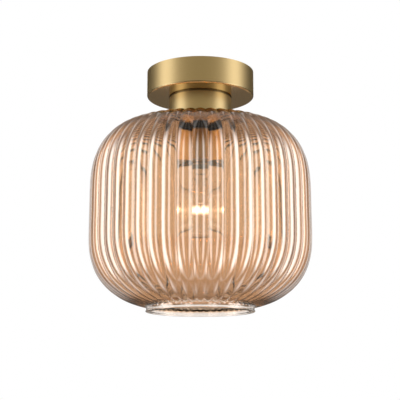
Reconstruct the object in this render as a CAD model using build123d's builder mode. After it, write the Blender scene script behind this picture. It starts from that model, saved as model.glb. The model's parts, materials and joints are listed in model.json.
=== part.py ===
from build123d import *
import math
import os

# Glass flush mount ceiling light, in millimetres.
# The ceiling is the plane Z = 0 and the light hangs below it, so every height here is negative.
# The axis of the light is Z, and its front, the side that the photograph shows, faces -Y.

# Canopy: the round brass cover against the ceiling
CANOPY_RADIUS = 60.0
CANOPY_DEPTH = 29.4
CANOPY_WALL = 1.2
CANOPY_EDGE_RADIUS = 2.2

# Mounting bracket: the steel strap inside the canopy
STRAP_WIDTH = 26.0
STRAP_THICKNESS = 2.0
EAR_REACH = 57.0
EAR_WIDTH = 16.0
EAR_DEPTH = 16.0
EAR_LENGTH = 6.0
EAR_BEND_RADIUS = 1.6
PLATE_CORNER_RADIUS = 3.0
TAB_WIDTH = 34.0
TAB_REACH = 39.0
SLOT_SPACING = 60.0
SLOT_LENGTH = 16.0
SLOT_RADIUS = 2.5
CABLE_HOLE_RADIUS = 8.0
GRUB_RADIUS = 2.0
GRUB_LENGTH = 7.0
GRUB_Z = -10.0
GRUB_SINK = 0.1
GRUB_SOCKET_FLATS = 2.0
GRUB_SOCKET_DEPTH = 2.0

# How near a measured place has to be to the one looked for, when an edge is chosen
NEARLY = 0.01

# Gaps round screws, leads and the threaded tube, and how far screw ends lie below the bracket's back
THREAD_GAP = 0.02
SCREW_GAP = 0.15
LEAD_GAP = 0.05
TUBE_GAP = 0.2
GASKET_GAP = 0.1
SCREW_END_SINK = 0.3

# Earth screw on the strap
EARTH_SCREW_X = 15.5
EARTH_SHANK_RADIUS = 2.0
EARTH_HEAD_RADIUS = 3.8
EARTH_HEAD_HEIGHT = 2.4
EARTH_HEAD_ROUNDING = 1.0
EARTH_SLOT_WIDTH = 1.0
EARTH_SLOT_DEPTH = 1.2

# Terminal block under the strap's tab
POLE_PITCH = 10.0
POLES = 3
BLOCK_Y = 28.0
BLOCK_WIDTH = 17.0
BLOCK_HEIGHT = 14.0
BLOCK_SIDE_INSET = 0.5
WEB_INSET = 2.0
WEB_SHORTER = 2.5
POLE_WIDTH = 7.6
POLE_CORNER_RADIUS = 1.0
POLE_TOP_STEP = 2.0
SLEEVE_Z = -9.0
SLEEVE_RADIUS = 2.5
SLEEVE_BORE = 1.6
SLEEVE_LENGTH = 15.0
POLE_SCREW_RADIUS = 1.3
POLE_SCREW_OFFSET = 4.5
POLE_SCREW_LENGTH = 5.2
POLE_SCREW_HOLE = 1.9
POLE_SLOT_WIDTH = 0.6
POLE_SLOT_DEPTH = 0.75
BLOCK_SCREW_RADIUS = 1.5
BLOCK_SCREW_HEAD = (2.2, 5.0)
BLOCK_SCREW_HEAD_HEIGHT = 1.6

# Threaded tube through the whole light, with its nuts and washers
NIPPLE_RADIUS = 5.0
NIPPLE_BORE = 3.8
NIPPLE_TOP = -18.5
NIPPLE_END = -73.2
NIPPLE_CHAMFER = 0.4
BUSH_RIM = 1.0
BUSH_RIM_HEIGHT = 1.2
BUSH_RIM_ROUNDING = 0.5
BUSH_SPIGOT = 3.0
BUSH_WALL = 0.8
NUT_FLATS = 14.0
NUT_CORNER_REACH = 0.6
NUT_THICKNESS = 3.0
WASHER_RADIUS = 14.0
WASHER_THICKNESS = 1.5

# Crimp ring tags on the two earth leads
TAG_THICKNESS = 0.8
TAG_NECK_WIDTH = 2.4
TAG_NECK_OVERLAP = 2.0
TAG_BARREL_RADIUS = 1.5
TAG_BARREL_LENGTH = 5.0
TAG_LEAD_START = 1.0
TAG_GAP = 0.1
STRAP_TAG_ANGLE = 128.0
STRAP_TAG_RADIUS = 4.0
STRAP_TAG_REACH = 5.5
CANOPY_TAG_ANGLE = 90.0
CANOPY_TAG_RADIUS = 8.5
CANOPY_TAG_REACH = 10.5

# Neck: the brass drum between the canopy and the glass
NECK_RADIUS = 35.0
NECK_WALL = 1.5
NECK_FLOOR = 2.0
NECK_BOTTOM = -61.0
SHADOW_GROOVE = 1.2
SHADOW_STEP = 1.0
NECK_TOP_ROUNDING = 0.4
NECK_BOTTOM_ROUNDING = 0.8

# Glass shade
GLASS_TOP = -61.8
GLASS_HOLE_RADIUS = 6.1
GLASS_TOP_THICKNESS = 3.0
GLASS_WALL = 4.2
RIBS = 48
RIB_HEIGHT_TO_WIDTH = 0.1375
RIB_FADE_START = 68.0
RIB_FADE_END = 48.0
RIB_FADE_HEIGHT = 4.0
COLLAR_RADIUS = 58.9
COLLAR_BORE_RADIUS = 54.4
COLLAR_LIP = 0.7
COLLAR_LIP_HEIGHT = 2.0
COLLAR_LIP_ROUNDING = 0.6
COLLAR_TOP = -264.0
SHADE_BOTTOM = -271.2
RING_COUNT = 36
INNER_COUNT = 16
INNER_START = 0.07
INNER_END = 0.97
INNER_TOP_BLEND = 6.0
INNER_MOUTH_BLEND = 1.5

# Crest line of the ribs, as (radius, height) from the flat top, over the shoulder and down to the collar
CREST_POINTS = [
    (48.0, -61.8),
    (68.6, -61.8),
    (85.3, -65.0),
    (99.1, -73.5),
    (109.6, -85.5),
    (116.8, -99.8),
    (120.5, -115.4),
    (121.9, -135.0),
    (122.1, -165.0),
    (122.2, -192.0),
    (120.9, -208.2),
    (116.3, -224.0),
    (107.9, -238.1),
    (96.2, -249.6),
    (82.3, -258.1),
    (67.0, -263.6),
    (56.0, -266.1),
]

# Rubber gaskets above and below the glass
UPPER_GASKET_RADIUS = 31.0
LOWER_GASKET_RADIUS = 24.0
LOWER_GASKET_THICKNESS = 1.2
GASKET_SPIGOT_RADIUS = 5.9

# Socket cup: the brass cup that hides the lampholder
CUP_RADIUS = 25.0
CUP_WALL = 1.0
CUP_BOTTOM = -105.0
CUP_SHOULDER_RADIUS = 6.0
CUP_WASHER_RADIUS = 11.0
CUP_WASHER_THICKNESS = 1.2

# Lampholder for an E27 cap
HOLDER_RADIUS = 19.5
HOLDER_TOP = -77.0
HOLDER_FLOOR = -81.0
HOLDER_BOTTOM = -103.5
HOLDER_BORE = 13.9
HOLDER_TOP_ROUNDING = 1.0
HOLDER_RIM_ROUNDING = 1.5
SHELL_INNER_RADIUS = 13.45
SHELL_TOP = -83.5
SHELL_BOTTOM = -102.0
BRIDGE_THICKNESS = 1.5
BRIDGE_HALF_LENGTH = 16.5
BRIDGE_HALF_WIDTH = 6.0
BRIDGE_FOOT_INNER = 6.5
BRIDGE_BEND_RADIUS = 1.2
HOLDER_SCREW_X = 10.0
HOLDER_SCREW_RADIUS = 1.5
HOLDER_SCREW_HEAD_RADIUS = 2.7
HOLDER_SCREW_HEAD_HEIGHT = 1.7
HOLDER_SCREW_RECESS_RADIUS = 2.9
HOLDER_SCREW_RECESS = 1.8
HOLDER_SLOT_WIDTH = 0.8
HOLDER_SLOT_DEPTH = 0.9
SHELL_TAB_WIDTH = 4.0
SHELL_TAB_START = 9.4
SHELL_TAB_END = 13.6
SHELL_LINK_Y = 13.5
SHELL_LINK_THICKNESS = 0.4
SHELL_LINK_OVERLAP = 0.5
TERMINAL_Y = 11.0
TERMINAL_SHIFT = 0.6
TERMINAL_WIDTH = 6.0
TERMINAL_SIZE = 5.0
TERMINAL_HEIGHT = 3.4
TERMINAL_BORE_DEPTH = 7.1
SIDE_SCREW_RADIUS = 1.0
SIDE_SCREW_LENGTH = 3.3
SIDE_SCREW_SINK = 0.1
SIDE_HEAD_RADIUS = 1.6
SIDE_HEAD_HEIGHT = 1.2
POST_RADIUS = 1.2

# Centre contact: a bronze leaf under the porcelain's floor
CONTACT_THICKNESS = 0.5
CONTACT_HALF_WIDTH = 2.5
CONTACT_FOOT_OVERHANG = 1.6
CONTACT_GAP = 0.05
LEAF_BEND_Y = 4.5
LEAF_FLAT_Y = 2.0
LEAF_TIP_Y = 3.4
LEAF_TIP_DROP = 0.6
LEAF_FOLD_SHIFT = 0.2

# Lamp: a clear A60 bulb with an E27 cap
BULB_TIP = -83.0
CONTACT_DISC_RADIUS = 4.8
CONTACT_DISC_HEIGHT = 0.6
CONTACT_DISC_ROUNDING = 0.4
INSULATOR_RADIUS = 7.5
INSULATOR_TAPER = 60.0
CAP_TOP = -84.6
CAP_RADIUS = 13.15
CAP_WALL = 0.5
CAP_SHOULDER_RADIUS = 10.5
CAP_SHOULDER_Z = -87.0
CAP_SKIRT_TOP = -103.5
CAP_SKIRT_RADIUS = 13.4
CAP_SKIRT_STEP = 1.5
CAP_BOTTOM = -109.0
BULB_RADIUS = 30.0
BULB_CENTRE = -159.0
BULB_WALL = 0.7
BULB_NECK_RADIUS = 12.5
BULB_NECK_TOP = -101.0
BULB_FLANK_TOP = -110.0
BULB_JOIN_ANGLE = 38.0
STEM_FLARE_Z = -103.0
STEM_FLARE_EDGE = 1.0
STEM_FLARE_HEIGHT = 7.0
STEM_FLARE_GAP = 0.1
STEM_TUBE_RADIUS = 4.5
STEM_TUBE_WALL = 1.0
STEM_TUBE_FLOOR = 3.0
STEM_PINCH_WIDTH = 11.0
STEM_PINCH_THICKNESS = 3.2
STEM_PINCH_CORNER = 1.2
STEM_ROD_RADIUS = 1.2
STEM_BUTTON_RADIUS = 1.6
STEM_PINCH_TOP = -121.0
STEM_PINCH_BOTTOM = -130.0
STEM_END = -151.0
FILAMENT_Z = -156.5
FILAMENT_SAG = 2.0
FILAMENT_HALF_SPAN = 16.0
FILAMENT_RADIUS = 0.5
LEAD_WIRE_RADIUS = 0.4
LEAD_WIRE_START = 4.0
LEAD_WIRE_BEND = (4.4, 5.0)
LEAD_WIRE_UPRIGHT = 6.0
LEAD_WIRE_END = 1.0
WIRE_GAP = 0.1
WIRE_END_GAP = 0.02
SUPPORT_WIRE_GAP = 0.05
SUPPORT_WIRE_RADIUS = 0.2
SUPPORT_XS = (-8.0, 0.0, 8.0)

# Internal leads
LEAD_RADIUS = 0.9
LEAD_SPREAD = 1.15
LEAD_GRIP = 2.5
LEAD_BEND_RADII = (12.0, 7.0, 2.6)
LEAD_STRAIGHT = 5.0
LEAD_RISE = 0.5
EARTH_BEND_RADIUS = 7.9
EARTH_BACK_REACH = 11.0
STRAP_LEAD_STRAIGHT = 4.5
STRAP_LEAD_RISE = 0.3
STRAP_LEAD_BEND_RADIUS = 6.0

# Heights worked out from the stack of clamped pieces
CANOPY_FLOOR = -(CANOPY_DEPTH - CANOPY_WALL)
WASHER_TOP = CANOPY_FLOOR + WASHER_THICKNESS
TAG_TOP = WASHER_TOP + TAG_THICKNESS
TOP_NUT_TOP = TAG_TOP + NUT_THICKNESS
GLASS_UNDERSIDE = GLASS_TOP - GLASS_TOP_THICKNESS
CUP_TOP = GLASS_UNDERSIDE - LOWER_GASKET_THICKNESS
CUP_WASHER_TOP = CUP_TOP - CUP_WALL
CUP_NUT_TOP = CUP_WASHER_TOP - CUP_WASHER_THICKNESS
BRIDGE_TOP = CUP_NUT_TOP - NUT_THICKNESS
STRAP_UNDERSIDE = -STRAP_THICKNESS
EARTH_HEAD_TOP = STRAP_UNDERSIDE - TAG_THICKNESS

os.makedirs("parts", exist_ok=True)


def save(part, label):
    """Labels a finished piece and writes it as its own file."""
    part.label = label
    export_step(part, f"parts/{label}.step")


def ring_plate(top, thickness, outer_radius, inner_radius):
    """A flat washer with its top face at the height given."""
    with BuildPart() as plate:
        with BuildSketch(Plane.XY.offset(top)):
            Circle(outer_radius)
            Circle(inner_radius, mode=Mode.SUBTRACT)
        extrude(amount=-thickness)
    return plate.part


def hex_nut(top, thickness):
    """A thin hexagon locknut for the threaded tube, with its corners turned off."""
    with BuildPart() as nut:
        with BuildSketch(Plane.XY.offset(top)):
            RegularPolygon(NUT_FLATS / 2, 6, major_radius=False)
            Circle(NIPPLE_RADIUS + THREAD_GAP, mode=Mode.SUBTRACT)
        extrude(amount=-thickness)
        with BuildSketch(Plane.XY.offset(top)):
            Circle(NUT_FLATS / 2 + NUT_CORNER_REACH)
        extrude(amount=-thickness, mode=Mode.INTERSECT)
    return nut.part


def lead(points, radii, name):
    """A round insulated lead along straight runs joined by tangent arcs."""
    with BuildLine() as route:
        FilletPolyline(*points, radius=radii)
    path = route.wires()[0]
    with BuildPart() as tube:
        with BuildSketch(Plane(origin=path @ 0, z_dir=path % 0)):
            Circle(LEAD_RADIUS)
        sweep(path=path)
    volume_ratio = tube.part.volume / (math.pi * LEAD_RADIUS**2 * path.length)
    print(name, "length", round(path.length, 1), "radii", radii, "volume ratio", round(volume_ratio, 4))
    save(tube.part, name)


def wire(points, radius):
    """A bare wire along straight runs, with a ball at each bend."""
    with BuildPart() as strand:
        for start, end in zip(points, points[1:]):
            direction = Vector(end) - Vector(start)
            with BuildSketch(Plane(origin=start, z_dir=direction)):
                Circle(radius)
            extrude(amount=direction.length)
        for bend in points[1:-1]:
            with Locations(bend):
                Sphere(radius)
    return strand.part


# Canopy
with BuildPart() as canopy:
    with BuildSketch(Plane.XY):
        Circle(CANOPY_RADIUS)
    extrude(amount=-CANOPY_DEPTH)
    fillet(canopy.edges().group_by(Axis.Z)[0], CANOPY_EDGE_RADIUS)
    with BuildSketch(Plane.XY):
        Circle(CANOPY_RADIUS - CANOPY_WALL)
    extrude(amount=CANOPY_FLOOR, mode=Mode.SUBTRACT)
    inner_edge = canopy.edges().filter_by(GeomType.CIRCLE).filter_by(
        lambda edge: abs(edge.radius - CANOPY_RADIUS + CANOPY_WALL) < NEARLY
    ).sort_by(Axis.Z)[0]
    fillet(inner_edge, CANOPY_EDGE_RADIUS - CANOPY_WALL)
    with BuildSketch(Plane.XY):
        Circle(NIPPLE_RADIUS + TUBE_GAP)
    extrude(amount=-CANOPY_DEPTH, mode=Mode.SUBTRACT)
    with BuildSketch(Plane.YZ):
        with Locations((0, GRUB_Z)):
            Circle(GRUB_RADIUS + SCREW_GAP)
    extrude(amount=CANOPY_RADIUS, both=True, mode=Mode.SUBTRACT)
save(canopy.part, "canopy")

# Mounting bracket: a strap with slots, two ears bent down to the canopy's wall, and a tab for the terminals
with BuildPart() as mounting_bracket:
    with BuildSketch(Plane.XY) as strap_outline:
        Rectangle(2 * (EAR_REACH - EAR_LENGTH), STRAP_WIDTH)
        Rectangle(2 * EAR_REACH, EAR_WIDTH)
        with Locations((0, TAB_REACH / 2)):
            Rectangle(TAB_WIDTH, TAB_REACH)
        fillet(strap_outline.vertices().group_by(Axis.Y)[-1], PLATE_CORNER_RADIUS)
    extrude(amount=-STRAP_THICKNESS)
    with BuildSketch(Plane.XY):
        with Locations((EAR_REACH - STRAP_THICKNESS / 2, 0), (STRAP_THICKNESS / 2 - EAR_REACH, 0)):
            Rectangle(STRAP_THICKNESS, EAR_WIDTH)
    extrude(amount=-EAR_DEPTH)
    outer_bends = mounting_bracket.edges().filter_by(Axis.Y).filter_by(
        lambda edge: abs(edge.center().Z) < NEARLY and abs(abs(edge.center().X) - EAR_REACH) < NEARLY
    )
    fillet(outer_bends, EAR_BEND_RADIUS)
    ear_corners = mounting_bracket.edges().filter_by(Axis.X).group_by(Axis.Z)[0]
    fillet(ear_corners, PLATE_CORNER_RADIUS)
    with BuildSketch(Plane.YZ):
        with Locations((0, GRUB_Z)):
            Circle(GRUB_RADIUS + THREAD_GAP)
    extrude(amount=EAR_REACH, both=True, mode=Mode.SUBTRACT)
    with BuildSketch(Plane.XY):
        with Locations((SLOT_SPACING / 2, 0), (-SLOT_SPACING / 2, 0)):
            SlotOverall(SLOT_LENGTH, 2 * SLOT_RADIUS)
        Circle(CABLE_HOLE_RADIUS)
        with Locations((EARTH_SCREW_X, 0)):
            Circle(EARTH_SHANK_RADIUS + THREAD_GAP)
        with Locations((POLE_PITCH / 2, BLOCK_Y), (-POLE_PITCH / 2, BLOCK_Y)):
            Circle(BLOCK_SCREW_RADIUS + THREAD_GAP)
    extrude(amount=-STRAP_THICKNESS, mode=Mode.SUBTRACT)
save(mounting_bracket.part, "mounting_bracket")

# Grub screws: backed out of the ears into the canopy's wall, so their ends are flush with it
with BuildPart() as canopy_grub_screws:
    for side in (1, -1):
        outer_end = Plane(origin=(side * (CANOPY_RADIUS - GRUB_SINK), 0, GRUB_Z), z_dir=(-side, 0, 0))
        with BuildSketch(outer_end):
            Circle(GRUB_RADIUS)
        extrude(amount=GRUB_LENGTH)
        with BuildSketch(outer_end):
            RegularPolygon(GRUB_SOCKET_FLATS / 2, 6, major_radius=False)
        extrude(amount=GRUB_SOCKET_DEPTH, mode=Mode.SUBTRACT)
save(canopy_grub_screws.part, "canopy_grub_screws")

# Earth screw with a slotted pan head
with BuildPart() as earth_screw:
    with BuildSketch(Plane.XY.offset(-SCREW_END_SINK)):
        with Locations((EARTH_SCREW_X, 0)):
            Circle(EARTH_SHANK_RADIUS)
    extrude(amount=EARTH_HEAD_TOP + SCREW_END_SINK)
    with BuildSketch(Plane.XY.offset(EARTH_HEAD_TOP)):
        with Locations((EARTH_SCREW_X, 0)):
            Circle(EARTH_HEAD_RADIUS)
    extrude(amount=-EARTH_HEAD_HEIGHT)
    fillet(earth_screw.edges().group_by(Axis.Z)[0], EARTH_HEAD_ROUNDING)
    with BuildSketch(Plane.XY.offset(EARTH_HEAD_TOP - EARTH_HEAD_HEIGHT)):
        with Locations((EARTH_SCREW_X, 0)):
            Rectangle(2 * EARTH_HEAD_RADIUS, EARTH_SLOT_WIDTH)
    extrude(amount=EARTH_SLOT_DEPTH, mode=Mode.SUBTRACT)
save(earth_screw.part, "earth_screw")


def ring_tag(centre, angle, top, hole_radius, outer_radius, barrel_reach, barrel_height, name):
    """A crimp ring tag: a flat ring, and a barrel that holds the end of an earth lead.

    Gives back two points on the barrel's axis, one inside it and one at its mouth.
    """
    frame = Plane(
        origin=(centre[0], centre[1], top), x_dir=Vector(1, 0, 0).rotate(Axis.Z, angle), z_dir=(0, 0, 1)
    )
    barrel_start = frame.from_local_coords((barrel_reach, 0, barrel_height))
    barrel_plane = Plane(origin=barrel_start, z_dir=frame.x_dir)
    with BuildPart() as tag:
        with BuildSketch(frame):
            Circle(outer_radius)
            with Locations(((barrel_reach + TAG_NECK_OVERLAP) / 2, 0)):
                Rectangle(barrel_reach + TAG_NECK_OVERLAP, TAG_NECK_WIDTH)
            Circle(hole_radius, mode=Mode.SUBTRACT)
        extrude(amount=-TAG_THICKNESS)
        with BuildSketch(barrel_plane):
            Circle(TAG_BARREL_RADIUS)
        extrude(amount=TAG_BARREL_LENGTH)
        with BuildSketch(barrel_plane):
            Circle(LEAD_RADIUS + LEAD_GAP)
        extrude(amount=TAG_BARREL_LENGTH, mode=Mode.SUBTRACT)
    save(tag.part, name)
    return barrel_start + frame.x_dir * TAG_LEAD_START, barrel_start + frame.x_dir * TAG_BARREL_LENGTH


strap_tag_inside, strap_tag_mouth = ring_tag(
    (EARTH_SCREW_X, 0), STRAP_TAG_ANGLE, STRAP_UNDERSIDE, EARTH_SHANK_RADIUS + TAG_GAP,
    STRAP_TAG_RADIUS, STRAP_TAG_REACH, -TAG_BARREL_RADIUS, "strap_earth_tag",
)
canopy_tag_inside, canopy_tag_mouth = ring_tag(
    (0, 0), CANOPY_TAG_ANGLE, TAG_TOP, NIPPLE_RADIUS + TAG_GAP,
    CANOPY_TAG_RADIUS, CANOPY_TAG_REACH, TAG_BARREL_RADIUS - TAG_THICKNESS, "canopy_earth_tag",
)

# Terminal block: one moulded body with three poles, each a brass sleeve with two clamping screws
pole_xs = [POLE_PITCH * (index - (POLES - 1) / 2) for index in range(POLES)]
pole_screw_spots = [(x, BLOCK_Y + side * POLE_SCREW_OFFSET) for x in pole_xs for side in (1, -1)]
block_bottom = STRAP_UNDERSIDE - BLOCK_HEIGHT
pole_screw_tip = SLEEVE_Z - LEAD_RADIUS - LEAD_GAP
with BuildPart() as terminal_block:
    with BuildSketch(Plane.XY.offset(STRAP_UNDERSIDE)):
        with Locations((0, BLOCK_Y)):
            Rectangle(POLES * POLE_PITCH - 2 * BLOCK_SIDE_INSET, BLOCK_WIDTH - 2 * WEB_INSET)
    extrude(amount=WEB_SHORTER - BLOCK_HEIGHT)
    with BuildSketch(Plane.XY.offset(STRAP_UNDERSIDE - POLE_TOP_STEP)):
        for x in pole_xs:
            with Locations((x, BLOCK_Y)):
                RectangleRounded(POLE_WIDTH, BLOCK_WIDTH, POLE_CORNER_RADIUS)
    extrude(amount=POLE_TOP_STEP - BLOCK_HEIGHT)
    with BuildSketch(Plane.XZ.offset(-BLOCK_Y)):
        with Locations(*[(x, SLEEVE_Z) for x in pole_xs]):
            Circle(SLEEVE_RADIUS + THREAD_GAP)
    extrude(amount=BLOCK_WIDTH, both=True, mode=Mode.SUBTRACT)
    with BuildSketch(Plane.XY.offset(block_bottom)):
        with Locations(*pole_screw_spots):
            Circle(POLE_SCREW_HOLE)
    extrude(amount=SLEEVE_Z - block_bottom, mode=Mode.SUBTRACT)
    with BuildSketch(Plane.XY.offset(STRAP_UNDERSIDE)):
        with Locations((POLE_PITCH / 2, BLOCK_Y), (-POLE_PITCH / 2, BLOCK_Y)):
            Circle(BLOCK_SCREW_RADIUS + SCREW_GAP)
    extrude(amount=-BLOCK_HEIGHT, mode=Mode.SUBTRACT)
save(terminal_block.part, "terminal_block")

with BuildPart() as terminal_sleeves:
    with BuildSketch(Plane.XZ.offset(-BLOCK_Y)):
        with Locations(*[(x, SLEEVE_Z) for x in pole_xs]):
            Circle(SLEEVE_RADIUS)
            Circle(SLEEVE_BORE, mode=Mode.SUBTRACT)
    extrude(amount=SLEEVE_LENGTH / 2, both=True)
    with BuildSketch(Plane.XY.offset(block_bottom)):
        with Locations(*pole_screw_spots):
            Circle(POLE_SCREW_RADIUS + THREAD_GAP)
    extrude(amount=SLEEVE_Z - block_bottom, mode=Mode.SUBTRACT)
save(terminal_sleeves.part, "terminal_sleeves")

with BuildPart() as terminal_screws:
    for spot in pole_screw_spots:
        with BuildSketch(Plane.XY.offset(pole_screw_tip)):
            with Locations(spot):
                Circle(POLE_SCREW_RADIUS)
        extrude(amount=-POLE_SCREW_LENGTH)
        with BuildSketch(Plane.XY.offset(pole_screw_tip - POLE_SCREW_LENGTH)):
            with Locations(spot):
                Rectangle(2 * POLE_SCREW_RADIUS, POLE_SLOT_WIDTH)
        extrude(amount=POLE_SLOT_DEPTH, mode=Mode.SUBTRACT)
save(terminal_screws.part, "terminal_screws")

# Two screws that hold the block to the tab
block_screw_head_top = block_bottom + WEB_SHORTER
with BuildPart() as terminal_block_screws:
    with BuildSketch(Plane.XY.offset(-SCREW_END_SINK)):
        with Locations((POLE_PITCH / 2, BLOCK_Y), (-POLE_PITCH / 2, BLOCK_Y)):
            Circle(BLOCK_SCREW_RADIUS)
    extrude(amount=block_screw_head_top + SCREW_END_SINK)
    with BuildSketch(Plane.XY.offset(block_screw_head_top)):
        with Locations((POLE_PITCH / 2, BLOCK_Y), (-POLE_PITCH / 2, BLOCK_Y)):
            Rectangle(*BLOCK_SCREW_HEAD)
    extrude(amount=-BLOCK_SCREW_HEAD_HEIGHT)
save(terminal_block_screws.part, "terminal_block_screws")

# Threaded tube, plain here: its thread is too fine to matter for the shape
with BuildPart() as threaded_nipple:
    with BuildSketch(Plane.XY.offset(NIPPLE_TOP)):
        Circle(NIPPLE_RADIUS)
        Circle(NIPPLE_BORE, mode=Mode.SUBTRACT)
    extrude(amount=NIPPLE_END - NIPPLE_TOP)
    chamfer(threaded_nipple.edges().group_by(Axis.Z)[0].sort_by(SortBy.RADIUS)[-1], NIPPLE_CHAMFER)
save(threaded_nipple.part, "threaded_nipple")

# Plastic bush that keeps the leads off the tube's sharp top
with BuildPart() as nipple_bush:
    with BuildSketch(Plane.XY.offset(NIPPLE_TOP)):
        Circle(NIPPLE_RADIUS + BUSH_RIM)
    extrude(amount=BUSH_RIM_HEIGHT)
    fillet(nipple_bush.edges().group_by(Axis.Z)[-1], BUSH_RIM_ROUNDING)
    with BuildSketch(Plane.XY.offset(NIPPLE_TOP)):
        Circle(NIPPLE_BORE - LEAD_GAP)
    extrude(amount=-BUSH_SPIGOT)
    with BuildSketch(Plane.XY.offset(NIPPLE_TOP + BUSH_RIM_HEIGHT)):
        Circle(NIPPLE_BORE - BUSH_WALL)
    extrude(amount=-BUSH_RIM_HEIGHT - BUSH_SPIGOT, mode=Mode.SUBTRACT)
save(nipple_bush.part, "nipple_bush")

canopy_washer = ring_plate(WASHER_TOP, WASHER_THICKNESS, WASHER_RADIUS, NIPPLE_RADIUS + TUBE_GAP)
save(canopy_washer, "canopy_washer")
save(hex_nut(TOP_NUT_TOP, NUT_THICKNESS), "canopy_nut")

# Neck: a spun drum, open at the top, with a shadow groove under the canopy
neck_top = -CANOPY_DEPTH
with BuildPart() as neck:
    with BuildSketch(Plane.XY.offset(neck_top)):
        Circle(NECK_RADIUS - SHADOW_STEP)
    extrude(amount=-SHADOW_GROOVE)
    with BuildSketch(Plane.XY.offset(neck_top - SHADOW_GROOVE)):
        Circle(NECK_RADIUS)
    extrude(amount=NECK_BOTTOM - neck_top + SHADOW_GROOVE)
    fillet(neck.edges().group_by(Axis.Z)[0], NECK_BOTTOM_ROUNDING)
    fillet(neck.edges().filter_by(GeomType.CIRCLE).filter_by(
        lambda edge: abs(edge.radius - NECK_RADIUS) < NEARLY
    ).sort_by(Axis.Z)[-1], NECK_TOP_ROUNDING)
    with BuildSketch(Plane.XY.offset(neck_top)):
        Circle(NECK_RADIUS - SHADOW_STEP - NECK_WALL)
    extrude(amount=NECK_BOTTOM - neck_top + NECK_FLOOR, mode=Mode.SUBTRACT)
    with BuildSketch(Plane.XY.offset(neck_top)):
        Circle(NIPPLE_RADIUS + TUBE_GAP)
    extrude(amount=NECK_BOTTOM - neck_top, mode=Mode.SUBTRACT)
save(neck.part, "neck")

upper_gasket_thickness = NECK_BOTTOM - GLASS_TOP
upper_gasket = ring_plate(
    NECK_BOTTOM, upper_gasket_thickness, UPPER_GASKET_RADIUS, NIPPLE_RADIUS + GASKET_GAP
)
save(upper_gasket, "upper_gasket")

# Glass shade: reeds over a bell, lofted through rings of arcs, then hollowed
with BuildLine() as crest_line:
    Spline(*[(radius, 0, height) for radius, height in CREST_POINTS], tangents=[(1, 0, 0), (-1, 0, -0.2)])


def crest_at(share):
    """Radius, height and outward normal of the crest line, at a share of its length."""
    spot = crest_line.line @ share
    heading = crest_line.line % share
    return spot.X, spot.Z, Vector(-heading.Z, 0, heading.X)


def rib_depth(radius, height):
    """How far a groove lies below the crests, in proportion to the rib's width there."""
    full = RIB_HEIGHT_TO_WIDTH * 2 * math.pi * radius / RIBS
    if height < GLASS_TOP - RIB_FADE_HEIGHT:
        return full
    fade = (radius - RIB_FADE_END) / (RIB_FADE_START - RIB_FADE_END)
    return full * min(1.0, max(0.0, fade))


def rib_ring(share):
    """One closed ring round the shade: an arc over each rib, from groove to groove."""
    radius, height, outward = crest_at(share)
    depth = rib_depth(radius, height)
    if share == 1:
        depth = 0
    groove_radius = radius - depth * outward.X
    groove_height = height - depth * outward.Z
    arcs = []
    for rib in range(RIBS):
        left, middle, right = (math.radians((rib + step) * 360 / RIBS) for step in (-0.5, 0, 0.5))
        start = (groove_radius * math.cos(left), groove_radius * math.sin(left), groove_height)
        top = (radius * math.cos(middle), radius * math.sin(middle), height)
        end = (groove_radius * math.cos(right), groove_radius * math.sin(right), groove_height)
        arcs.append(Edge.make_three_point_arc(start, top, end))
    return Wire(arcs)


reeded_body = Solid.make_loft([rib_ring(step / RING_COUNT) for step in range(RING_COUNT + 1)])


def inner_point(share):
    """A point of the smooth inside, one wall thickness below the crest line."""
    radius, height, outward = crest_at(share)
    return radius - GLASS_WALL * outward.X, height - GLASS_WALL * outward.Z


inner_step = (INNER_END - INNER_START) / INNER_COUNT
inner_shares = [INNER_START + inner_step * index for index in range(INNER_COUNT + 1)]
inner_points = [inner_point(share) for share in inner_shares]
with BuildPart() as glass_shade:
    add(reeded_body)
    with BuildSketch(Plane.XY.offset(COLLAR_TOP)):
        Circle(COLLAR_RADIUS)
    extrude(amount=SHADE_BOTTOM - COLLAR_TOP)
    with BuildSketch(Plane.XY.offset(SHADE_BOTTOM)):
        Circle(COLLAR_RADIUS + COLLAR_LIP)
    extrude(amount=COLLAR_LIP_HEIGHT)
    fillet(glass_shade.edges().filter_by(GeomType.CIRCLE).filter_by(
        lambda edge: abs(edge.radius - COLLAR_RADIUS - COLLAR_LIP) < NEARLY
    ), COLLAR_LIP_ROUNDING)
    with BuildSketch(Plane.XZ) as hollow:
        with BuildLine():
            top_left = (0, GLASS_UNDERSIDE)
            top_right = (inner_points[0][0] - INNER_TOP_BLEND, GLASS_UNDERSIDE)
            mouth_top = (COLLAR_BORE_RADIUS, inner_points[-1][1] - INNER_MOUTH_BLEND)
            mouth_bottom = (COLLAR_BORE_RADIUS, SHADE_BOTTOM)
            Line(top_left, top_right)
            Spline(top_right, *inner_points[1:-1], mouth_top, tangents=[(1, 0), (-0.5, -1)])
            Line(mouth_top, mouth_bottom)
            Line(mouth_bottom, (0, SHADE_BOTTOM))
            Line((0, SHADE_BOTTOM), top_left)
        make_face()
    revolve(axis=Axis.Z, mode=Mode.SUBTRACT)
    with BuildSketch(Plane.XY.offset(GLASS_TOP)):
        Circle(GLASS_HOLE_RADIUS)
    extrude(amount=-2 * GLASS_TOP_THICKNESS, mode=Mode.SUBTRACT)
save(glass_shade.part, "glass_shade")

# Lower gasket, with a spigot that centres the glass on the threaded tube
with BuildPart() as lower_gasket:
    with BuildSketch(Plane.XY.offset(CUP_TOP)):
        Circle(LOWER_GASKET_RADIUS)
    extrude(amount=LOWER_GASKET_THICKNESS)
    with BuildSketch(Plane.XY.offset(CUP_TOP)):
        Circle(GASKET_SPIGOT_RADIUS)
    extrude(amount=GLASS_TOP - CUP_TOP)
    with BuildSketch(Plane.XY.offset(CUP_TOP)):
        Circle(NIPPLE_RADIUS + GASKET_GAP)
    extrude(amount=GLASS_TOP - CUP_TOP, mode=Mode.SUBTRACT)
save(lower_gasket.part, "lower_gasket")

# Socket cup


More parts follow.
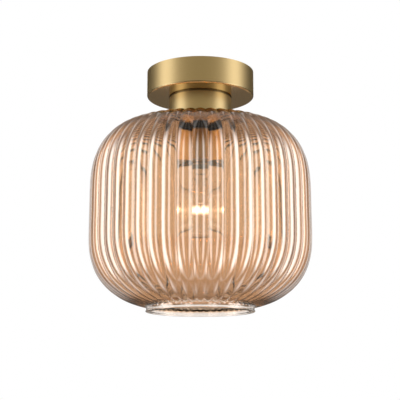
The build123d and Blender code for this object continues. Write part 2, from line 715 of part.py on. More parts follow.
def cup_outline(inset):
    """Half outline of the cup about its axis, with a rounded shoulder, drawn in by the inset."""
    wall = CUP_RADIUS - inset
    crown = CUP_TOP - inset
    shoulder = CUP_SHOULDER_RADIUS - inset
    Line((0, crown), (wall - shoulder, crown))
    RadiusArc((wall - shoulder, crown), (wall, crown - shoulder), shoulder)
    Line((wall, crown - shoulder), (wall, CUP_BOTTOM))
    Line((wall, CUP_BOTTOM), (0, CUP_BOTTOM))
    Line((0, CUP_BOTTOM), (0, crown))


with BuildPart() as socket_cup:
    with BuildSketch(Plane.XZ):
        with BuildLine():
            cup_outline(0)
        make_face()
    revolve(axis=Axis.Z)
    with BuildSketch(Plane.XZ):
        with BuildLine():
            cup_outline(CUP_WALL)
        make_face()
    revolve(axis=Axis.Z, mode=Mode.SUBTRACT)
    with BuildSketch(Plane.XY.offset(CUP_TOP)):
        Circle(NIPPLE_RADIUS + TUBE_GAP)
    extrude(amount=-2 * CUP_WALL, mode=Mode.SUBTRACT)
save(socket_cup.part, "socket_cup")

cup_washer = ring_plate(CUP_WASHER_TOP, CUP_WASHER_THICKNESS, CUP_WASHER_RADIUS, NIPPLE_RADIUS + TUBE_GAP)
save(cup_washer, "cup_washer")
save(hex_nut(CUP_NUT_TOP, NUT_THICKNESS), "cup_nut")

# Lampholder bridge: a folded steel strip, screwed on the threaded tube, with two feet for the porcelain
with BuildPart() as lampholder_bridge:
    with BuildSketch(Plane.XZ):
        with BuildLine():
            Polyline(
                (-BRIDGE_HALF_LENGTH, BRIDGE_TOP),
                (BRIDGE_HALF_LENGTH, BRIDGE_TOP),
                (BRIDGE_HALF_LENGTH, HOLDER_TOP),
                (BRIDGE_FOOT_INNER, HOLDER_TOP),
                (BRIDGE_FOOT_INNER, HOLDER_TOP + BRIDGE_THICKNESS),
                (BRIDGE_HALF_LENGTH - BRIDGE_THICKNESS, HOLDER_TOP + BRIDGE_THICKNESS),
                (BRIDGE_HALF_LENGTH - BRIDGE_THICKNESS, BRIDGE_TOP - BRIDGE_THICKNESS),
                (BRIDGE_THICKNESS - BRIDGE_HALF_LENGTH, BRIDGE_TOP - BRIDGE_THICKNESS),
                (BRIDGE_THICKNESS - BRIDGE_HALF_LENGTH, HOLDER_TOP + BRIDGE_THICKNESS),
                (-BRIDGE_FOOT_INNER, HOLDER_TOP + BRIDGE_THICKNESS),
                (-BRIDGE_FOOT_INNER, HOLDER_TOP),
                (-BRIDGE_HALF_LENGTH, HOLDER_TOP),
                close=True,
            )
        make_face()
    extrude(amount=BRIDGE_HALF_WIDTH, both=True)
    fold_edges = lampholder_bridge.edges().filter_by(Axis.Y).filter_by(
        lambda edge: abs(abs(edge.center().X) - BRIDGE_HALF_LENGTH) < NEARLY
    )
    fillet(fold_edges, BRIDGE_BEND_RADIUS)
    with BuildSketch(Plane.XY.offset(BRIDGE_TOP)):
        Circle(NIPPLE_RADIUS + THREAD_GAP)
    extrude(amount=-BRIDGE_THICKNESS, mode=Mode.SUBTRACT)
    with BuildSketch(Plane.XY.offset(HOLDER_TOP)):
        with Locations((HOLDER_SCREW_X, 0), (-HOLDER_SCREW_X, 0)):
            Circle(HOLDER_SCREW_RADIUS + THREAD_GAP)
    extrude(amount=BRIDGE_THICKNESS, mode=Mode.SUBTRACT)
save(lampholder_bridge.part, "lampholder_bridge")

# Lampholder body: glazed porcelain, closed at the top, with a bore for the threaded shell
with BuildPart() as lampholder_body:
    with BuildSketch(Plane.XY.offset(HOLDER_TOP)):
        Circle(HOLDER_RADIUS)
    extrude(amount=HOLDER_BOTTOM - HOLDER_TOP)
    fillet(lampholder_body.edges().group_by(Axis.Z)[0], HOLDER_RIM_ROUNDING)
    fillet(lampholder_body.edges().group_by(Axis.Z)[-1], HOLDER_TOP_ROUNDING)
    with BuildSketch(Plane.XY.offset(HOLDER_FLOOR)):
        Circle(HOLDER_BORE)
    extrude(amount=HOLDER_BOTTOM - HOLDER_FLOOR, mode=Mode.SUBTRACT)
    with BuildSketch(Plane.XY.offset(HOLDER_FLOOR)):
        with Locations((HOLDER_SCREW_X, 0), (-HOLDER_SCREW_X, 0)):
            Circle(HOLDER_SCREW_RADIUS + SCREW_GAP)
        with Locations((0, -TERMINAL_Y)):
            Circle(POST_RADIUS + THREAD_GAP)
        with Locations((0, TERMINAL_Y)):
            Circle(POST_RADIUS + THREAD_GAP)
    extrude(amount=HOLDER_TOP - HOLDER_FLOOR, mode=Mode.SUBTRACT)
    with BuildSketch(Plane.XY.offset(HOLDER_FLOOR)):
        with Locations((HOLDER_SCREW_X, 0), (-HOLDER_SCREW_X, 0)):
            Circle(HOLDER_SCREW_RECESS_RADIUS)
    extrude(amount=HOLDER_SCREW_RECESS, mode=Mode.SUBTRACT)
save(lampholder_body.part, "lampholder_body")

# Two screws that hold the porcelain to the bridge, with their heads sunk in its floor
recess_top = HOLDER_FLOOR + HOLDER_SCREW_RECESS
with BuildPart() as lampholder_screws:
    for x in (HOLDER_SCREW_X, -HOLDER_SCREW_X):
        with BuildSketch(Plane.XY.offset(recess_top)):
            with Locations((x, 0)):
                Circle(HOLDER_SCREW_RADIUS)
        extrude(amount=HOLDER_TOP + BRIDGE_THICKNESS - recess_top)
        with BuildSketch(Plane.XY.offset(recess_top)):
            with Locations((x, 0)):
                Circle(HOLDER_SCREW_HEAD_RADIUS)
        extrude(amount=-HOLDER_SCREW_HEAD_HEIGHT)
        with BuildSketch(Plane.XY.offset(recess_top - HOLDER_SCREW_HEAD_HEIGHT)):
            with Locations((x, 0)):
                Rectangle(2 * HOLDER_SCREW_RECESS_RADIUS, HOLDER_SLOT_WIDTH)
        extrude(amount=HOLDER_SLOT_DEPTH, mode=Mode.SUBTRACT)
save(lampholder_screws.part, "lampholder_screws")

# Threaded shell of the lampholder, with the tab and post that join it to the neutral terminal
with BuildPart() as lampholder_shell:
    with BuildSketch(Plane.XY.offset(SHELL_TOP)):
        Circle(HOLDER_BORE - THREAD_GAP)
        Circle(SHELL_INNER_RADIUS, mode=Mode.SUBTRACT)
    extrude(amount=SHELL_BOTTOM - SHELL_TOP)
    with BuildSketch(Plane.XY.offset(HOLDER_FLOOR)):
        with Locations((0, (SHELL_TAB_START + SHELL_TAB_END) / 2)):
            Rectangle(SHELL_TAB_WIDTH, SHELL_TAB_END - SHELL_TAB_START)
    extrude(amount=-CONTACT_THICKNESS)
    with BuildSketch(Plane.XY.offset(HOLDER_FLOOR)):
        with Locations((0, SHELL_LINK_Y)):
            Rectangle(SHELL_TAB_WIDTH, SHELL_LINK_THICKNESS)
    extrude(amount=SHELL_TOP - HOLDER_FLOOR - SHELL_LINK_OVERLAP)
    with BuildSketch(Plane.XY.offset(HOLDER_FLOOR)):
        with Locations((0, TERMINAL_Y)):
            Circle(POST_RADIUS)
    extrude(amount=HOLDER_TOP - HOLDER_FLOOR)
save(lampholder_shell.part, "lampholder_shell")

# Centre contact: a bronze leaf on the porcelain's floor, bowed down to meet the bulb
leaf_foot_end = TERMINAL_Y + CONTACT_FOOT_OVERHANG
leaf_low = BULB_TIP + CONTACT_GAP
leaf_tip_z = HOLDER_FLOOR - LEAF_TIP_DROP
with BuildPart() as centre_contact:
    with BuildSketch(Plane.YZ):
        with BuildLine():
            Polyline(
                (-leaf_foot_end, HOLDER_FLOOR),
                (-LEAF_BEND_Y, HOLDER_FLOOR),
                (-LEAF_FLAT_Y, leaf_low + CONTACT_THICKNESS),
                (LEAF_FLAT_Y, leaf_low + CONTACT_THICKNESS),
                (LEAF_TIP_Y, leaf_tip_z),
                (LEAF_TIP_Y, leaf_tip_z - CONTACT_THICKNESS),
                (LEAF_FLAT_Y + LEAF_FOLD_SHIFT, leaf_low),
                (-LEAF_FLAT_Y - LEAF_FOLD_SHIFT, leaf_low),
                (-LEAF_BEND_Y - LEAF_FOLD_SHIFT, HOLDER_FLOOR - CONTACT_THICKNESS),
                (-leaf_foot_end, HOLDER_FLOOR - CONTACT_THICKNESS),
                close=True,
            )
        make_face()
    extrude(amount=CONTACT_HALF_WIDTH, both=True)
    with BuildSketch(Plane.XY.offset(HOLDER_FLOOR)):
        with Locations((0, -TERMINAL_Y)):
            Circle(POST_RADIUS)
    extrude(amount=HOLDER_TOP - HOLDER_FLOOR)
save(centre_contact.part, "centre_contact")

# Terminals on top of the porcelain: a brass block for each lead, with a side screw
lead_run_z = HOLDER_TOP + TERMINAL_HEIGHT / 2
terminal_centre = TERMINAL_Y + TERMINAL_SHIFT
side_screw_tip = LEAD_SPREAD - LEAD_RADIUS - SIDE_SCREW_SINK
with BuildPart() as lampholder_terminals:
    for side in (1, -1):
        with BuildSketch(Plane.XY.offset(HOLDER_TOP)):
            with Locations((0, side * terminal_centre)):
                Rectangle(TERMINAL_WIDTH, TERMINAL_SIZE)
        extrude(amount=TERMINAL_HEIGHT)
    for side in (1, -1):
        with BuildSketch(Plane.XZ.offset(-side * (terminal_centre - TERMINAL_SIZE))):
            with Locations((side * LEAD_SPREAD, lead_run_z)):
                Circle(LEAD_RADIUS + LEAD_GAP)
        extrude(amount=-side * TERMINAL_BORE_DEPTH, mode=Mode.SUBTRACT)
        with BuildSketch(Plane.YZ.offset(side * (LEAD_SPREAD - LEAD_RADIUS))):
            with Locations((side * terminal_centre, lead_run_z)):
                Circle(SIDE_SCREW_RADIUS + THREAD_GAP)
        extrude(amount=-side * TERMINAL_WIDTH, mode=Mode.SUBTRACT)
save(lampholder_terminals.part, "lampholder_terminals")

with BuildPart() as lampholder_terminal_screws:
    for side in (1, -1):
        with BuildSketch(Plane.YZ.offset(side * side_screw_tip)):
            with Locations((side * terminal_centre, lead_run_z)):
                Circle(SIDE_SCREW_RADIUS)
        extrude(amount=-side * SIDE_SCREW_LENGTH)
        with BuildSketch(Plane.YZ.offset(side * (side_screw_tip - SIDE_SCREW_LENGTH))):
            with Locations((side * terminal_centre, lead_run_z)):
                Circle(SIDE_HEAD_RADIUS)
        extrude(amount=-side * SIDE_HEAD_HEIGHT)
save(lampholder_terminal_screws.part, "lampholder_terminal_screws")

# Leads from the terminal block down the threaded tube to the lampholder
block_face_y = BLOCK_Y - SLEEVE_LENGTH / 2
for side, name in ((-1, "live_lead"), (1, "neutral_lead")):
    lead(
        [
            (side * POLE_PITCH, block_face_y + LEAD_GRIP, SLEEVE_Z),
            (side * POLE_PITCH, block_face_y - LEAD_STRAIGHT, SLEEVE_Z + LEAD_RISE),
            (side * LEAD_SPREAD, 0, SLEEVE_Z + 2 * LEAD_RISE),
            (side * LEAD_SPREAD, 0, lead_run_z),
            (side * LEAD_SPREAD, side * (TERMINAL_Y + LEAD_GRIP), lead_run_z),
        ],
        LEAD_BEND_RADII,
        name,
    )

# Earth leads from the middle pole: one back and under the block to the canopy's tag, one to the strap's tag
back_turn_y = BLOCK_Y + SLEEVE_LENGTH / 2 + EARTH_BACK_REACH
lead(
    [
        (0, BLOCK_Y + SLEEVE_LENGTH / 2 - LEAD_GRIP, SLEEVE_Z),
        (0, back_turn_y, SLEEVE_Z),
        (0, back_turn_y, canopy_tag_mouth.Z),
        (0, canopy_tag_inside.Y, canopy_tag_mouth.Z),
    ],
    (EARTH_BEND_RADIUS, EARTH_BEND_RADIUS),
    "canopy_earth_lead",
)
lead(
    [
        (0, block_face_y + LEAD_GRIP, SLEEVE_Z),
        (0, block_face_y - STRAP_LEAD_STRAIGHT, SLEEVE_Z + STRAP_LEAD_RISE),
        tuple(strap_tag_mouth + (strap_tag_mouth - strap_tag_inside)),
        tuple(strap_tag_inside),
    ],
    (STRAP_LEAD_BEND_RADIUS, STRAP_LEAD_BEND_RADIUS),
    "strap_earth_lead",
)


def bulb_outline(inset):
    """Half outline of the bulb's glass about its axis: neck, flank and round end, drawn in by the inset."""
    neck = BULB_NECK_RADIUS - inset
    ball = BULB_RADIUS - inset
    join = math.radians(BULB_JOIN_ANGLE)
    flank_end = (ball * math.cos(join), BULB_CENTRE + ball * math.sin(join))
    Line((0, BULB_NECK_TOP), (neck, BULB_NECK_TOP))
    Line((neck, BULB_NECK_TOP), (neck, BULB_FLANK_TOP))
    Spline((neck, BULB_FLANK_TOP), flank_end, tangents=[(0, -1), (math.sin(join), -math.cos(join))])
    CenterArc((0, BULB_CENTRE), ball, BULB_JOIN_ANGLE, -90 - BULB_JOIN_ANGLE)
    Line((0, BULB_CENTRE - ball), (0, BULB_NECK_TOP))


# Bulb glass: a thin pear, open where the stem closes its neck
with BuildPart() as bulb_glass:
    with BuildSketch(Plane.XZ):
        with BuildLine():
            bulb_outline(0)
        make_face()
    revolve(axis=Axis.Z)
    with BuildSketch(Plane.XZ):
        with BuildLine():
            bulb_outline(BULB_WALL)
        make_face()
    revolve(axis=Axis.Z, mode=Mode.SUBTRACT)
save(bulb_glass.part, "bulb_glass")


def cap_outline(inset):
    """Half outline of the bulb's cap: a drawn shoulder, the threaded length and a skirt over the glass."""
    Polyline(
        (0, CAP_TOP - inset),
        (CAP_SHOULDER_RADIUS - inset, CAP_TOP - inset),
        (CAP_RADIUS - inset, CAP_SHOULDER_Z - inset / 2),
        (CAP_RADIUS - inset, CAP_SKIRT_TOP),
        (CAP_SKIRT_RADIUS - inset, CAP_SKIRT_TOP - CAP_SKIRT_STEP),
        (CAP_SKIRT_RADIUS - inset, CAP_BOTTOM),
        (0, CAP_BOTTOM),
        close=True,
    )


with BuildPart() as bulb_cap:
    with BuildSketch(Plane.XZ):
        with BuildLine():
            cap_outline(0)
        make_face()
    revolve(axis=Axis.Z)
    with BuildSketch(Plane.XZ):
        with BuildLine():
            cap_outline(CAP_WALL)
        make_face()
    revolve(axis=Axis.Z, mode=Mode.SUBTRACT)
    with BuildSketch(Plane.XY.offset(CAP_TOP)):
        Circle(INSULATOR_RADIUS)
    extrude(amount=-CAP_WALL, mode=Mode.SUBTRACT)
save(bulb_cap.part, "bulb_cap")

# Black glass insulator in the cap's end, and the soldered contact on it
with BuildPart() as bulb_insulator:
    with BuildSketch(Plane.XY.offset(CAP_TOP - CAP_WALL)):
        Circle(INSULATOR_RADIUS)
    extrude(amount=CAP_WALL)
    with BuildSketch(Plane.XY.offset(CAP_TOP)):
        Circle(INSULATOR_RADIUS)
    extrude(amount=BULB_TIP - CONTACT_DISC_HEIGHT - CAP_TOP, taper=INSULATOR_TAPER)
save(bulb_insulator.part, "bulb_insulator")

with BuildPart() as bulb_contact:
    with BuildSketch(Plane.XY.offset(BULB_TIP - CONTACT_DISC_HEIGHT)):
        Circle(CONTACT_DISC_RADIUS)
    extrude(amount=CONTACT_DISC_HEIGHT)
    fillet(bulb_contact.edges().group_by(Axis.Z)[-1], CONTACT_DISC_ROUNDING)
save(bulb_contact.part, "bulb_contact")

# Glass stem: a flare that closes the neck, a tube, a flat pinch round the wires, and a rod with a button
flare_radius = BULB_NECK_RADIUS - BULB_WALL - STEM_FLARE_GAP
with BuildPart() as bulb_stem:
    with BuildSketch(Plane.XZ):
        with BuildLine():
            Polyline(
                (0, STEM_FLARE_Z),
                (flare_radius, STEM_FLARE_Z),
                (flare_radius, STEM_FLARE_Z - STEM_FLARE_EDGE),
                (STEM_TUBE_RADIUS, STEM_FLARE_Z - STEM_FLARE_HEIGHT),
                (STEM_TUBE_RADIUS, STEM_PINCH_TOP),
                (0, STEM_PINCH_TOP),
                close=True,
            )
        make_face()
    revolve(axis=Axis.Z)
    with BuildSketch(Plane.XY.offset(STEM_FLARE_Z)):
        Circle(STEM_TUBE_RADIUS - STEM_TUBE_WALL)
    extrude(amount=STEM_PINCH_TOP - STEM_FLARE_Z + STEM_TUBE_FLOOR, mode=Mode.SUBTRACT)
    with BuildSketch(Plane.XY.offset(STEM_PINCH_TOP)):
        Circle(STEM_TUBE_RADIUS)
    with BuildSketch(Plane.XY.offset(STEM_PINCH_BOTTOM)):
        RectangleRounded(STEM_PINCH_WIDTH, STEM_PINCH_THICKNESS, STEM_PINCH_CORNER)
    loft()
    with BuildSketch(Plane.XY.offset(STEM_PINCH_BOTTOM)):
        Circle(STEM_ROD_RADIUS)
    extrude(amount=STEM_END - STEM_PINCH_BOTTOM)
    with Locations((0, 0, STEM_END)):
        Sphere(STEM_BUTTON_RADIUS)
save(bulb_stem.part, "bulb_stem")

# Two wires that carry the filament's ends
with BuildPart() as bulb_lead_wires:
    for side in (1, -1):
        wire_x = side * (FILAMENT_HALF_SPAN + LEAD_WIRE_RADIUS + WIRE_GAP)
        add(wire(
            [
                (side * LEAD_WIRE_START, 0, STEM_PINCH_BOTTOM - WIRE_END_GAP),
                (side * LEAD_WIRE_BEND[0], 0, STEM_PINCH_BOTTOM - LEAD_WIRE_BEND[1]),
                (wire_x, 0, FILAMENT_Z + LEAD_WIRE_UPRIGHT),
                (wire_x, 0, FILAMENT_Z - LEAD_WIRE_END),
            ],
            LEAD_WIRE_RADIUS,
        ))
save(bulb_lead_wires.part, "bulb_lead_wires")

# Filament: the coil as one fine rod, on an arc that sags in the middle
filament_arc_radius = (FILAMENT_HALF_SPAN**2 + FILAMENT_SAG**2) / (2 * FILAMENT_SAG)
with BuildPart() as bulb_filament:
    with BuildLine() as filament_line:
        ThreePointArc(
            (-FILAMENT_HALF_SPAN, 0, FILAMENT_Z),
            (0, 0, FILAMENT_Z - FILAMENT_SAG),
            (FILAMENT_HALF_SPAN, 0, FILAMENT_Z),
        )
    with BuildSketch(Plane(origin=filament_line.line @ 0, z_dir=filament_line.line % 0)):
        Circle(FILAMENT_RADIUS)
    sweep(path=filament_line.line)
save(bulb_filament.part, "bulb_filament")

# Fine wires from the button that hold the filament up
with BuildPart() as bulb_support_wires:
    for x in SUPPORT_XS:
        rise = filament_arc_radius - math.sqrt(filament_arc_radius**2 - x**2)
        foot = Vector(x, 0, FILAMENT_Z - FILAMENT_SAG + rise + FILAMENT_RADIUS + SUPPORT_WIRE_RADIUS)
        button = Vector(0, 0, STEM_END)
        start = button + (foot - button).normalized() * (STEM_BUTTON_RADIUS + SUPPORT_WIRE_GAP)
        add(wire([tuple(start), tuple(foot)], SUPPORT_WIRE_RADIUS))
save(bulb_support_wires.part, "bulb_support_wires")
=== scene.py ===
import json
import logging
import math
from dataclasses import dataclass, field
from enum import Enum
from typing import Optional, Sequence

import bmesh
import bpy
import numpy as np
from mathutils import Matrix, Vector


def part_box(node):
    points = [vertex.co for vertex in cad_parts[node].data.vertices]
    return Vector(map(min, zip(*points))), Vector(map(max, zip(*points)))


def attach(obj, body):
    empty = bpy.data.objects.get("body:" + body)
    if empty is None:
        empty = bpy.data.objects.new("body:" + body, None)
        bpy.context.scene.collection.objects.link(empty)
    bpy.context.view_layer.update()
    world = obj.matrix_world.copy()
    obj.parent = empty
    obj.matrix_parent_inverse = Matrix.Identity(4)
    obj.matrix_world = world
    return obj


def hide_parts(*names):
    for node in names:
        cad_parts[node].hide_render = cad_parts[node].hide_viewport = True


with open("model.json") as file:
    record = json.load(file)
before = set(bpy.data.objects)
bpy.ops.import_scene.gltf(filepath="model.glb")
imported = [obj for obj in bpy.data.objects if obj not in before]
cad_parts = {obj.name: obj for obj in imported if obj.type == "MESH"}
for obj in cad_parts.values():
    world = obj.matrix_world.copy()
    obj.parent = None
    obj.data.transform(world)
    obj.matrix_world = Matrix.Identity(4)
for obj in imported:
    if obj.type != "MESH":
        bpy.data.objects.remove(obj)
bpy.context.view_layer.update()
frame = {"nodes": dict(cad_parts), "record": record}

LOG = logging.getLogger("ceiling_light")
MM = 0.001
SHARP_ANGLE = math.radians(38)


class Body(Enum):
    """The bodies of the light that a piece can ride on."""

    FIXTURE = "fixture"
    BULB = "bulb"


class Brushing(Enum):
    """Which way the fine lines of a worked metal surface run."""

    ROUND_THE_AXIS = "round the axis"
    CLOUDED = "clouded"


def linear(colour: str) -> tuple[float, float, float, float]:
    """Turns an sRGB colour into the linear one that shaders take.

    Args:
        colour: the colour as six hex digits.

    Returns:
        Red, green, blue and an alpha of 1.
    """
    parts = [int(colour[start:start + 2], 16) / 255 for start in (0, 2, 4)]
    return (*[c / 12.92 if c <= 0.04045 else ((c + 0.055) / 1.055) ** 2.4 for c in parts], 1.0)


def add(
    tree: bpy.types.NodeTree, kind: str, inputs: Optional[dict] = None, **settings: object
) -> bpy.types.Node:
    """Adds a node to a tree, with its settings and links.

    Args:
        tree: the tree that takes the node.
        kind: the node's type.
        inputs: for each input, by name or number, a value or the output that feeds it.
        settings: the node's own settings.

    Returns:
        The new node.
    """
    node = tree.nodes.new(kind)
    for name, value in settings.items():
        setattr(node, name, value)
    for key, value in (inputs or {}).items():
        if isinstance(value, bpy.types.NodeSocket):
            tree.links.new(value, node.inputs[key])
        else:
            node.inputs[key].default_value = value
    return node


# Finishes


@dataclass(frozen=True)
class Finish:
    """What every finish has: a name, and a way to paint a node tree."""

    name: str

    def paint(self, tree: bpy.types.NodeTree, output: bpy.types.Node) -> None:
        """Fills the tree; each kind of finish has its own way.

        Args:
            tree: the material's tree, empty but for the output.
            output: the material's output node.
        """
        raise NotImplementedError

    def material(self) -> bpy.types.Material:
        """Makes the material."""
        material = bpy.data.materials.new(self.name)
        material.use_nodes = True
        tree = material.node_tree
        tree.nodes.clear()
        self.paint(tree, add(tree, "ShaderNodeOutputMaterial"))
        return material


@dataclass(frozen=True)
class Textured(Finish):
    """An opaque finish in two close tones, with a fine grain in its gloss and its surface."""

    tone: str
    deep_tone: str
    roughness: float
    roughness_swing: float
    grain_mm: float
    bump_mm: float
    bump_strength: float = 0.5

    def colour(self, tree: bpy.types.NodeTree, cloud: bpy.types.NodeSocket) -> bpy.types.NodeSocket:
        """The colour at each point, between the two tones as the cloud says."""
        return add(tree, "ShaderNodeMix", {
            0: cloud, 6: linear(self.deep_tone), 7: linear(self.tone),
        }, data_type="RGBA").outputs[2]

    def gloss(self, tree: bpy.types.NodeTree, grain: bpy.types.NodeSocket) -> bpy.types.NodeSocket:
        """The roughness at each point, which swings with the grain."""
        return add(tree, "ShaderNodeMapRange", {
            "Value": grain,
            "To Min": self.roughness - self.roughness_swing,
            "To Max": self.roughness + self.roughness_swing,
        }).outputs[0]

    def relief(self, tree: bpy.types.NodeTree, grain: bpy.types.NodeSocket) -> bpy.types.NodeSocket:
        """The surface's normal, with the grain as a fine relief."""
        return add(tree, "ShaderNodeBump", {
            "Height": grain, "Distance": self.bump_mm * MM, "Strength": self.bump_strength,
        }).outputs[0]


@dataclass(frozen=True)
class WorkedMetal(Textured):
    """A metal that was spun, turned, rolled or plated: fine lines or a faint cloud in colour and gloss."""

    bump_strength: float = 0.6
    brushing: Brushing = Brushing.CLOUDED
    anisotropy: float = 0.0
    lacquer: float = 0.0
    lacquer_roughness: float = 0.1
    flat_roughness: Optional[float] = None
    # Reach of the painted shade that ambient occlusion puts into the colour in crevices; 0 for none
    painted_shade_reach_mm: float = 0.0
    line_mm: float = 2.0

    def pattern(self, tree: bpy.types.NodeTree) -> bpy.types.NodeSocket:
        """The grain's value at each point, from 0 to 1."""
        place = add(tree, "ShaderNodeTexCoord").outputs["Object"]
        if self.brushing is Brushing.ROUND_THE_AXIS:
            parts = add(tree, "ShaderNodeSeparateXYZ", {0: place}).outputs
            flat = add(tree, "ShaderNodeCombineXYZ", {"X": parts["X"], "Y": parts["Y"]}).outputs[0]
            radius = add(tree, "ShaderNodeVectorMath", {0: flat}, operation="LENGTH").outputs["Value"]
            turn = add(tree, "ShaderNodeMath", {0: parts["Y"], 1: parts["X"]}, operation="ARCTAN2")
            along = add(tree, "ShaderNodeMath", {
                0: turn.outputs[0], 1: self.line_mm * MM,
            }, operation="MULTIPLY")
            place = add(tree, "ShaderNodeCombineXYZ", {
                "X": radius, "Y": along.outputs[0], "Z": parts["Z"],
            }).outputs[0]
        grain = add(tree, "ShaderNodeTexNoise", {
            "Vector": place, "Scale": 1 / (self.grain_mm * MM), "Detail": 3.0,
        })
        return grain.outputs["Fac"]

    def paint(self, tree: bpy.types.NodeTree, output: bpy.types.Node) -> None:
        """Paints the metal.

        Args:
            tree: the material's tree.
            output: the material's output node.
        """
        grain = self.pattern(tree)
        colour = self.colour(tree, grain)
        # Painted shade: ambient occlusion darkens the metal's colour in crevices and seams, where shade
        # falls, such as the joint of neck and canopy
        if self.painted_shade_reach_mm:
            painted_crevice_shade = add(tree, "ShaderNodeAmbientOcclusion", {"Distance": self.painted_shade_reach_mm * MM}).outputs["AO"]
            colour = add(tree, "ShaderNodeVectorMath", {0: colour, 1: painted_crevice_shade}, operation="MULTIPLY").outputs[0]
        gloss = self.gloss(tree, grain)
        if self.flat_roughness is not None:
            facing = add(tree, "ShaderNodeTexCoord").outputs["Normal"]
            along_axis = add(tree, "ShaderNodeSeparateXYZ", {0: facing}).outputs["Z"]
            flat = add(tree, "ShaderNodeMath", {0: along_axis}, operation="ABSOLUTE").outputs[0]
            gloss = add(tree, "ShaderNodeMix", {0: flat, 2: gloss, 3: self.flat_roughness}).outputs[0]
        shader = add(tree, "ShaderNodeBsdfPrincipled", {
            "Base Color": colour, "Metallic": 1.0, "Roughness": gloss, "Normal": self.relief(tree, grain),
            "Anisotropic": self.anisotropy,
            "Coat Weight": self.lacquer, "Coat Roughness": self.lacquer_roughness,
        })
        if self.anisotropy:
            tangent = add(tree, "ShaderNodeTangent", direction_type="RADIAL", axis="Z")
            tree.links.new(tangent.outputs[0], shader.inputs["Tangent"])
        tree.links.new(shader.outputs[0], output.inputs["Surface"])


@dataclass(frozen=True)
class Moulded(Textured):
    """A moulded plastic, rubber or ceramic: a plain body colour with a fine skin texture."""

    ior: float = 1.5
    glaze: float = 0.0
    glaze_roughness: float = 0.04
    drift_mm: float = 8.333

    def paint(self, tree: bpy.types.NodeTree, output: bpy.types.Node) -> None:
        """Paints the moulding.

        Args:
            tree: the material's tree.
            output: the material's output node.
        """
        place = add(tree, "ShaderNodeTexCoord").outputs["Object"]
        grain = add(tree, "ShaderNodeTexNoise", {
            "Vector": place, "Scale": 1 / (self.grain_mm * MM), "Detail": 4.0,
        }).outputs["Fac"]
        drift = add(tree, "ShaderNodeTexNoise", {
            "Vector": place, "Scale": 1 / (self.drift_mm * MM),
        }).outputs["Fac"]
        shader = add(tree, "ShaderNodeBsdfPrincipled", {
            "Base Color": self.colour(tree, drift), "Roughness": self.gloss(tree, grain),
            "Normal": self.relief(tree, grain), "IOR": self.ior,
            "Coat Weight": self.glaze, "Coat Roughness": self.glaze_roughness,
        })
        tree.links.new(shader.outputs[0], output.inputs["Surface"])


@dataclass(frozen=True)
class BlownGlass(Finish):
    """Glass with slow waves in its surface."""

    ior: float = 1.5
    wave_mm: float = 3.333
    wave_height_mm: float = 0.02

    def waves(self, tree: bpy.types.NodeTree) -> bpy.types.NodeSocket:
        """The surface's normal, with the slow waves."""
        place = add(tree, "ShaderNodeTexCoord").outputs["Object"]
        waves = add(tree, "ShaderNodeTexNoise", {
            "Vector": place, "Scale": 1 / (self.wave_mm * MM),
        }).outputs["Fac"]
        return add(tree, "ShaderNodeBump", {
            "Height": waves, "Distance": self.wave_height_mm * MM,
        }).outputs[0]


@dataclass(frozen=True)
class AmberGlass(BlownGlass):
    """Clear soda-lime glass with an amber lustre film on its outside: tan to look through, bright in gloss.

    The film is deeper where it is seen at a slant. The tints are the light left after one crossing.
    """

    tint: tuple[float, float, float] = (0.86, 0.63, 0.45)
    slant_tint: tuple[float, float, float] = (0.36, 0.23, 0.14)
    slant_start: float = 0.15
    film_share: float = 0.2
    film_tone: str = "FBF7F2"
    ior: float = 1.51
    body_tone: tuple[float, float, float] = (0.8, 0.6, 0.3)
    density: float = 24.0
    wave_mm: float = 14.0
    wave_height_mm: float = 0.05

    def colour(self, tree: bpy.types.NodeTree, coated: bpy.types.NodeSocket) -> bpy.types.NodeSocket:
        """The colour that light takes on where it crosses the surface.

        Args:
            tree: the material's tree.
            coated: 1 where the film is, else 0.

        Returns:
            The colour.
        """
        facing = add(tree, "ShaderNodeLayerWeight", {"Blend": 0.5}).outputs["Facing"]
        slant = add(tree, "ShaderNodeMapRange", {"Value": facing, "From Min": self.slant_start}).outputs[0]
        # Squared, because the shader takes the root of its colour at each crossing
        amber, deep_amber = [(*[part**2 for part in tint], 1.0) for tint in (self.tint, self.slant_tint)]
        tone = add(tree, "ShaderNodeMix", {0: slant, 6: amber, 7: deep_amber}, data_type="RGBA").outputs[2]
        bare = (1.0, 1.0, 1.0, 1.0)
        return add(tree, "ShaderNodeMix", {0: coated, 6: bare, 7: tone}, data_type="RGBA").outputs[2]

    def paint(self, tree: bpy.types.NodeTree, output: bpy.types.Node) -> None:
        """Paints the glass.

        Args:
            tree: the material's tree.
            output: the material's output node.
        """
        normal = self.waves(tree)
        coated = add(tree, "ShaderNodeAttribute", attribute_name="coated").outputs["Fac"]
        glass = add(tree, "ShaderNodeBsdfPrincipled", {
            "Base Color": self.colour(tree, coated), "Transmission Weight": 1.0, "IOR": self.ior,
            "Roughness": 0.0, "Normal": normal,
        })
        film = add(tree, "ShaderNodeBsdfPrincipled", {
            "Base Color": linear(self.film_tone), "Metallic": 1.0, "Roughness": 0.0, "Normal": normal,
        })
        share = add(tree, "ShaderNodeMath", {
            0: coated, 1: self.film_share,
        }, operation="MULTIPLY").outputs[0]
        shader = add(tree, "ShaderNodeMixShader", {0: share, 1: glass.outputs[0], 2: film.outputs[0]})
        body = add(tree, "ShaderNodeVolumeAbsorption", {
            "Color": (*self.body_tone, 1.0), "Density": self.density,
        })
        tree.links.new(shader.outputs[0], output.inputs["Surface"])
        tree.links.new(body.outputs[0], output.inputs["Volume"])


